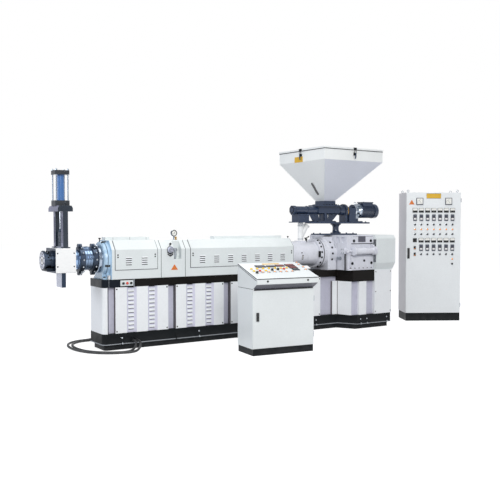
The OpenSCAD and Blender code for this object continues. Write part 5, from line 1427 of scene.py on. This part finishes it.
DESK = corner_frame("desk_plinth", 0.006)
DESK_W = 0.814
LIP_Y = -0.109
LIP_Z = 0.895
RIM_W = 0.010
DESK_LID = "desk_lid_body"
YELLOW = [(0.078, 0.317), (0.155, 0.317), (0.231, 0.317), (0.310, 0.317), (0.392, 0.317), (0.469, 0.317),
          (0.550, 0.317), (0.078, 0.243), (0.235, 0.246)]
BLACK = [(0.325, 0.261), (0.409, 0.273), (0.089, 0.185)]
RED = [(0.494, 0.284), (0.154, 0.241)]
RINGED = [(0.171 + 0.079 * k, 0.200) for k in range(6)]
RIGHT_SIDE = [(0.790, 0.500), (0.775, 0.423), (0.790, 0.335), (0.775, 0.245)]
METERS = [("meter_grey", 0.17, 0.30, 0.360, 0.430), ("meter_grey", 0.315, 0.43, 0.360, 0.415)]
DISPLAYS = [("display_red", 0.445, 0.560, 0.375, 0.430), ("display_red", 0.580, 0.700, 0.375, 0.445),
            ("display_red", 0.590, 0.700, 0.300, 0.362), ("display_dark", 0.600, 0.690, 0.232, 0.288)]


def button(shape, u, v, radius, height):
    return shape.lathe((u, v, 0), UP, [(0, radius), (height * 0.7, radius), (height, radius * 0.8),
                                       (height + 0.001, radius * 0.3)], 20)


def make_desk_details():
    slope = math.atan2(0.150, 0.400 - LIP_Y)
    lid = DESK @ Matrix.Translation((0, LIP_Y, LIP_Z)) @ Matrix.Rotation(slope, 4, "X")

    def on_lid():
        return Shape(lid @ Matrix.Translation((0, 0, -0.0005)))

    def finish(shape, name, colour, slot="desk_paint", bevel=0.0):
        return shape.piece(name, colour, DESK_LID, slot, bevel)

    def buttons(name, colour, places, radius, height):
        shape = on_lid()
        for u, v in places:
            button(shape, u, v, radius, height)
        finish(shape, name, colour)

    buttons("desk_buttons_yellow", "button_yellow", YELLOW, 0.0150, 0.014)
    buttons("desk_buttons_red", "button_red", RED, 0.0155, 0.018)
    black = on_lid()
    for u, v in BLACK:
        black.lathe((u, v, 0), UP, [(0, 0.019), (0.004, 0.019), (0.006, 0.015), (0.022, 0.014),
                                    (0.025, 0.010)], 24)
        black.box((u - 0.003, v - 0.013, 0.006), (u + 0.003, v + 0.013, 0.024))
    finish(black, "desk_selectors", "black_plastic", bevel=0.0006)
    collars = on_lid()
    for u, v in YELLOW + RED:
        collars.lathe((u, v, 0), UP, [(0, 0.0195), (0.003, 0.0195), (0.004, 0.0165)], 24)
    for u, v in RINGED + RIGHT_SIDE:
        collars.lathe((u, v, 0), UP, [(0, 0.021), (0.004, 0.021), (0.006, 0.0155)], 24)
    finish(collars, "desk_button_collars", "zinc", "turned_steel")
    buttons("desk_lamps_orange", "lamp_orange", RINGED + RIGHT_SIDE, 0.0115, 0.011)

    frames = on_lid()
    for k, (colour, u0, u1, v0, v1) in enumerate(METERS + DISPLAYS):
        frames.box((u0, v0, 0), (u1, v1, 0.008))
        window = on_lid()
        window.box((u0 + RIM_W, v0 + RIM_W, 0.007), (u1 - RIM_W, v1 - RIM_W, 0.0092))
        finish(window, "desk_window_%d" % (k + 1), colour, bevel=0.0008)
    finish(frames, "desk_instrument_frames", "black_plastic", bevel=0.0015)
    labels = on_lid()
    labels.box((0.055, 0.352, 0), (0.150, 0.374, 0.0012))
    for u, v in YELLOW[:7]:
        labels.box((u - 0.018, v - 0.026, 0), (u + 0.018, v - 0.019, 0.0008))
    finish(labels, "desk_blank_labels", "meter_face")
    strip = on_lid()
    strip.box((0.300, 0.462, 0), (0.530, 0.495, 0.002))
    finish(strip, "desk_plate", "plate_yellow")

    locks = Shape(DESK)
    for u in (0.135, 0.665):
        locks.lathe((u, LIP_Y + 0.001, 0.862), FRONT, [(0, 0.012), (0.006, 0.012), (0.008, 0.009)], 20)
        locks.box((u - 0.002, LIP_Y - 0.010, 0.855), (u + 0.002, LIP_Y - 0.005, 0.869))
    locks.piece("desk_lid_locks", "black_plastic", DESK_LID, "black_paint")
    gap = Shape(DESK)
    for end in (0, DESK_W):
        gap.loft([
            [(x, LIP_Y + 0.0155, 0.866), (x, LIP_Y + 0.0170, 0.874), (x, 0.397, 1.0252), (x, 0.397, 1.0190)]
            for x in (end - 0.0010, end + 0.0010)
        ])
    gap.piece("desk_lid_seam", "seam_dark", "root", "desk_paint")
    edge_line = Shape(DESK)
    edge_line.box((0.0005, LIP_Y - 0.0008, LIP_Z - 0.0105), (DESK_W - 0.0005, LIP_Y + 0.001, LIP_Z - 0.0015))
    edge_line.place = lid
    edge_line.box((-0.0008, 0.004, -0.011), (0.001, 0.527, -0.002))
    finish(edge_line, "desk_lid_edge_line", "edge_shadow")
    # Painted shade: a grey sheet under the overhang of the desk's lid.
    under = Shape(DESK)
    under.loft([
        [(x, -0.091, 0.8258), (x, -0.002, 0.7732), (x, -0.002, 0.7703), (x, -0.091, 0.8229)]
        for x in (0.004, DESK_W - 0.004)
    ])
    under.piece("desk_underside_shade", "meter_grey", "root", "desk_paint")

    door = Shape(DESK)
    door.box((0.044, -0.0155, 0.398), (0.076, -0.0005, 0.497))
    door.box((0.053, -0.0185, 0.425), (0.067, -0.0150, 0.470))
    door.piece("desk_door_handle", "black_plastic", "desk_door_body", "black_paint", bevel=0.002)
    hinge = Shape(DESK)
    for z in (0.172, 0.600):
        hinge.rod((DESK_W + 0.004, 0.009, z), (DESK_W + 0.004, 0.009, z + 0.062), 0.0066, 16)
    hinge.piece("desk_door_hinge_pins", "zinc", "root", "turned_steel")
    seams = Shape(DESK)
    seams.box((-0.0006, -0.004, 0.765), (0.0005, 0.385, 0.770))
    seams.box((0.016, -0.0006, 0.752), (DESK_W - 0.016, 0.0010, 0.7695))
    seams.piece("desk_seams", "edge_shadow", "root", "desk_paint")


# Power cabinet

CABINET = corner_frame("cabinet_plinth", 0.005)
CABINET_DOOR = "cabinet_door_body"
COLUMNS = [0.137 + 0.0987 * k for k in range(7)]
KNOB = [(0, 0.0150), (0.008, 0.0150), (0.018, 0.012), (0.020, 0.009)]
KNOB_RIM = [(0, 0.019), (0.002, 0.019), (0.003, 0.016)]
SIGNAL = [(0, 0.0135), (0.009, 0.0130), (0.014, 0.008), (0.015, 0.003)]
SIGNAL_RIM = [(0, 0.0175), (0.004, 0.0175), (0.005, 0.014)]


def make_cabinet_details():
    def on_door():
        return Shape(CABINET)

    def finish(shape, name, colour, slot="cabinet_paint", bevel=0.0):
        return shape.piece(name, colour, CABINET_DOOR, slot, bevel)

    def panel(shape, u, z, w, h, low, high):
        """Raised rectangle on the door, from one depth to another in front of it."""
        return shape.box((u - w / 2, -high, z - h / 2), (u + w / 2, -low + 0.0005, z + h / 2))

    meter_white, meter_black, frames = on_door(), on_door(), on_door()
    body, window, bar = on_door(), on_door(), on_door()
    knobs, lamps, rims = on_door(), on_door(), on_door()
    for row, (z_meter, z_unit, z_knob) in enumerate(((1.731, 1.616, 1.508), (1.264, 1.147, 1.045))):
        for column in COLUMNS[row:]:
            panel(frames, column, z_meter, 0.078, 0.070, 0, 0.006)
            panel(meter_white, column, z_meter + 0.014, 0.070, 0.034, 0.005, 0.0085)
            panel(meter_black, column, z_meter - 0.020, 0.070, 0.024, 0.005, 0.0115)
            panel(body, column, z_unit, 0.056, 0.100, 0, 0.010)
            panel(bar, column, z_unit + 0.010, 0.044, 0.014, 0.009, 0.0125)
            panel(window, column, z_unit - 0.018, 0.038, 0.026, 0.009, 0.0120)
            rims.lathe((column, 0.0005, z_knob), FRONT, KNOB_RIM, 24)
            knobs.lathe((column, 0, z_knob), FRONT, KNOB, 20)
    for column in COLUMNS:
        rims.lathe((column, 0.0005, 1.433), FRONT, SIGNAL_RIM, 24)
        lamps.lathe((column, 0, 1.433), FRONT, SIGNAL, 20)
        rims.lathe((column, 0.0005, 1.359), FRONT, KNOB_RIM, 24)
        knobs.lathe((column, 0, 1.359), FRONT, KNOB, 20)
    for z in (1.147, 1.045):
        panel(frames, COLUMNS[0], z, 0.034, 0.052, 0, 0.005)
        knobs.lathe((COLUMNS[0], 0, z + 0.008), FRONT, [(0, 0.0120), (0.012, 0.0115), (0.016, 0.008)], 20)
        lamps.lathe((COLUMNS[0], 0, z - 0.016), FRONT, [(0, 0.009), (0.010, 0.008), (0.012, 0.004)], 16)
    lamps.lathe((COLUMNS[-1], 0, 0.969), FRONT, SIGNAL, 20)
    rims.lathe((COLUMNS[-1], 0.0005, 0.969), FRONT, SIGNAL_RIM, 24)
    knobs.lathe((COLUMNS[-1], 0, 0.895), FRONT, KNOB, 20)
    panel(frames, COLUMNS[0], 1.264, 0.062, 0.062, 0, 0.004)
    knobs.box((COLUMNS[0] - 0.006, -0.026, 1.240), (COLUMNS[0] + 0.006, -0.003, 1.288))
    finish(frames, "cabinet_meter_frames", "black_plastic", bevel=0.001)
    finish(meter_white, "cabinet_meter_dials", "meter_face", bevel=0.0006)
    finish(meter_black, "cabinet_meter_covers", "black_plastic", bevel=0.0008)
    finish(body, "cabinet_controllers", "unit_grey", bevel=0.0012)
    finish(window, "cabinet_controller_windows", "ring_white", bevel=0.0006)
    finish(bar, "cabinet_controller_displays", "display_dark", bevel=0.0006)
    finish(knobs, "cabinet_knobs", "black_plastic")
    finish(lamps, "cabinet_lamps", "lamp_orange")
    finish(rims, "cabinet_rims", "zinc", "turned_steel")

    big, dials, needles = on_door(), on_door(), on_door()
    for column in (0.209, 0.665):
        panel(big, column, 1.870, 0.110, 0.110, 0, 0.012)
        panel(dials, column, 1.872, 0.088, 0.088, 0.011, 0.0135)
        needles.tube([(column + 0.020, -0.0145, 1.842), (column - 0.018, -0.0145, 1.892)], 0.0012, 6)
        for k in range(7):
            angle = math.radians(100 + 10 * k)
            at = Vector((column + 0.022 + 0.062 * math.cos(angle), -0.0138, 1.838 + 0.062 * math.sin(angle)))
            needles.box(at - Vector((0.0010, 0.0006, 0.004)), at + Vector((0.0010, 0.0006, 0.004)))
    finish(big, "cabinet_main_meters", "unit_grey", bevel=0.004)
    finish(dials, "cabinet_main_dials", "meter_face", bevel=0.001)
    finish(needles, "cabinet_main_needles", "black_plastic")

    plate = on_door()
    panel(plate, 0.430, 1.955, 0.227, 0.072, 0, 0.003)
    finish(plate, "cabinet_plate", "plate_yellow", bevel=0.001)
    edge = on_door()
    edge.tube([(u, -0.003, z) for u, z in ((0.317, 1.919), (0.543, 1.919), (0.543, 1.991), (0.317, 1.991))],
              0.003, 8, closed=True)
    finish(edge, "cabinet_plate_edge", "plate_rim")
    mark = on_door()
    mark.loft([[(0.042, y, 1.822), (0.128, y, 1.822), (0.088, y, 1.890), (0.082, y, 1.890)]
               for y in (0.0005, -0.0016)])
    finish(mark, "cabinet_plate_small", "plate_orange")

    handle = on_door()
    handle.box((0.0195, -0.0175, 0.978), (0.0545, -0.0005, 1.142))
    handle.box((0.029, -0.0225, 1.010), (0.045, -0.0170, 1.110))
    finish(handle, "cabinet_handle", "black_plastic", "black_paint", bevel=0.003)
    hinges = Shape(CABINET)
    for z in (0.215, 1.855):
        hinges.rod((0.867, 0.009, z), (0.867, 0.009, z + 0.062), 0.0066, 16)
    hinges.piece("cabinet_hinge_pins", "zinc", "root", "turned_steel")


# Stage

FLOOR_SIZE = 80
FLOOR_COLOUR = (0.45, 0.45, 0.46, 1)
AMBIENT = 0.5
LAMP_COLOUR = (1.0, 0.985, 0.96)
SHADE_COLOUR = (0.90, 0.93, 1.0)


def make_stage():
    mesh = bpy.data.meshes.new("floor")
    half = FLOOR_SIZE / 2
    mesh.from_pydata([(-half, -half, 0), (half, -half, 0), (half, half, 0), (-half, half, 0)], [],
                     [(0, 1, 2, 3)])
    floor = bpy.data.objects.new("floor", mesh)
    bpy.context.scene.collection.objects.link(floor)
    made = bpy.data.materials.new("floor_white")
    made.use_nodes = True
    tree = made.node_tree
    shader = tree.nodes["Principled BSDF"]
    shader.inputs["Base Color"].default_value = FLOOR_COLOUR
    shader.inputs["Roughness"].default_value = 0.9
    shader.inputs["Specular IOR Level"].default_value = 0.0
    glow = node_of(tree, "ShaderNodeEmission")
    glow.inputs["Strength"].default_value = 0.8
    seen = node_of(tree, "ShaderNodeLightPath")
    any_ray = node_of(tree, "ShaderNodeMath", operation="MAXIMUM")
    tree.links.new(seen.outputs["Is Camera Ray"], any_ray.inputs[0])
    tree.links.new(seen.outputs["Is Glossy Ray"], any_ray.inputs[1])
    dark = node_of(tree, "ShaderNodeMixShader")
    black = node_of(tree, "ShaderNodeEmission")
    black.inputs["Strength"].default_value = 0.0
    tree.links.new(any_ray.outputs[0], dark.inputs[0])
    tree.links.new(black.outputs[0], dark.inputs[1])
    tree.links.new(glow.outputs[0], dark.inputs[2])
    total = node_of(tree, "ShaderNodeAddShader")
    tree.links.new(shader.outputs[0], total.inputs[0])
    tree.links.new(dark.outputs[0], total.inputs[1])
    tree.links.new(total.outputs[0], tree.nodes["Material Output"].inputs["Surface"])
    mesh.materials.append(made)

    world = bpy.data.worlds.new("world")
    bpy.context.scene.world = world
    world.use_nodes = True
    tree = world.node_tree
    ambient = tree.nodes["Background"]
    ambient.inputs["Color"].default_value = (*SHADE_COLOUR, 1)
    ambient.inputs["Strength"].default_value = AMBIENT
    white = node_of(tree, "ShaderNodeBackground")
    white.inputs["Color"].default_value = (1, 1, 1, 1)
    white.inputs["Strength"].default_value = 1.0
    seen = node_of(tree, "ShaderNodeLightPath")
    any_ray = node_of(tree, "ShaderNodeMath", operation="MAXIMUM")
    tree.links.new(seen.outputs["Is Camera Ray"], any_ray.inputs[0])
    tree.links.new(seen.outputs["Is Transmission Ray"], any_ray.inputs[1])
    choose = node_of(tree, "ShaderNodeMixShader")
    tree.links.new(any_ray.outputs[0], choose.inputs[0])
    tree.links.new(ambient.outputs[0], choose.inputs[1])
    tree.links.new(white.outputs[0], choose.inputs[2])
    tree.links.new(choose.outputs[0], tree.nodes["World Output"].inputs["Surface"])


def lamp(name, place, aim, size, watts, colour=LAMP_COLOUR):
    data = bpy.data.lights.new(name, "AREA")
    data.shape = "RECTANGLE"
    data.size, data.size_y = size
    data.energy = watts
    data.color = colour
    made = bpy.data.objects.new(name, data)
    made.location = place
    made.rotation_euler = (Vector(aim) - Vector(place)).to_track_quat("-Z", "Y").to_euler()
    bpy.context.scene.collection.objects.link(made)


def make_lamps():
    lamp("key", (-3.0, -8.8, 5.2), (0.6, 0, 0.9), (5, 4), 480)
    lamp("top", (0.5, -1.0, 8.0), (0.5, 0, 0.8), (8, 5), 235)
    lamp("side", (-9.0, 1.5, 3.5), (-0.5, 0, 1.0), (4, 4), 190, SHADE_COLOUR)
    lamp("back", (3.5, 8.5, 5.0), (0.5, 0, 1.0), (6, 4), 220)


bpy.context.scene.view_settings.view_transform = "Standard"
make_camera()
make_materials()
make_hose("hose_inner", INNER_ROUTE)
make_hose("hose_outer", OUTER_ROUTE)
make_base_details()
make_hood_details()
make_vent_details()
make_bell_details()
make_head_details()
make_drive_details()
make_feeder_details()
make_hopper_details()
make_desk_details()
make_cabinet_details()
make_stage()
make_lamps()
finish_cad_nodes()
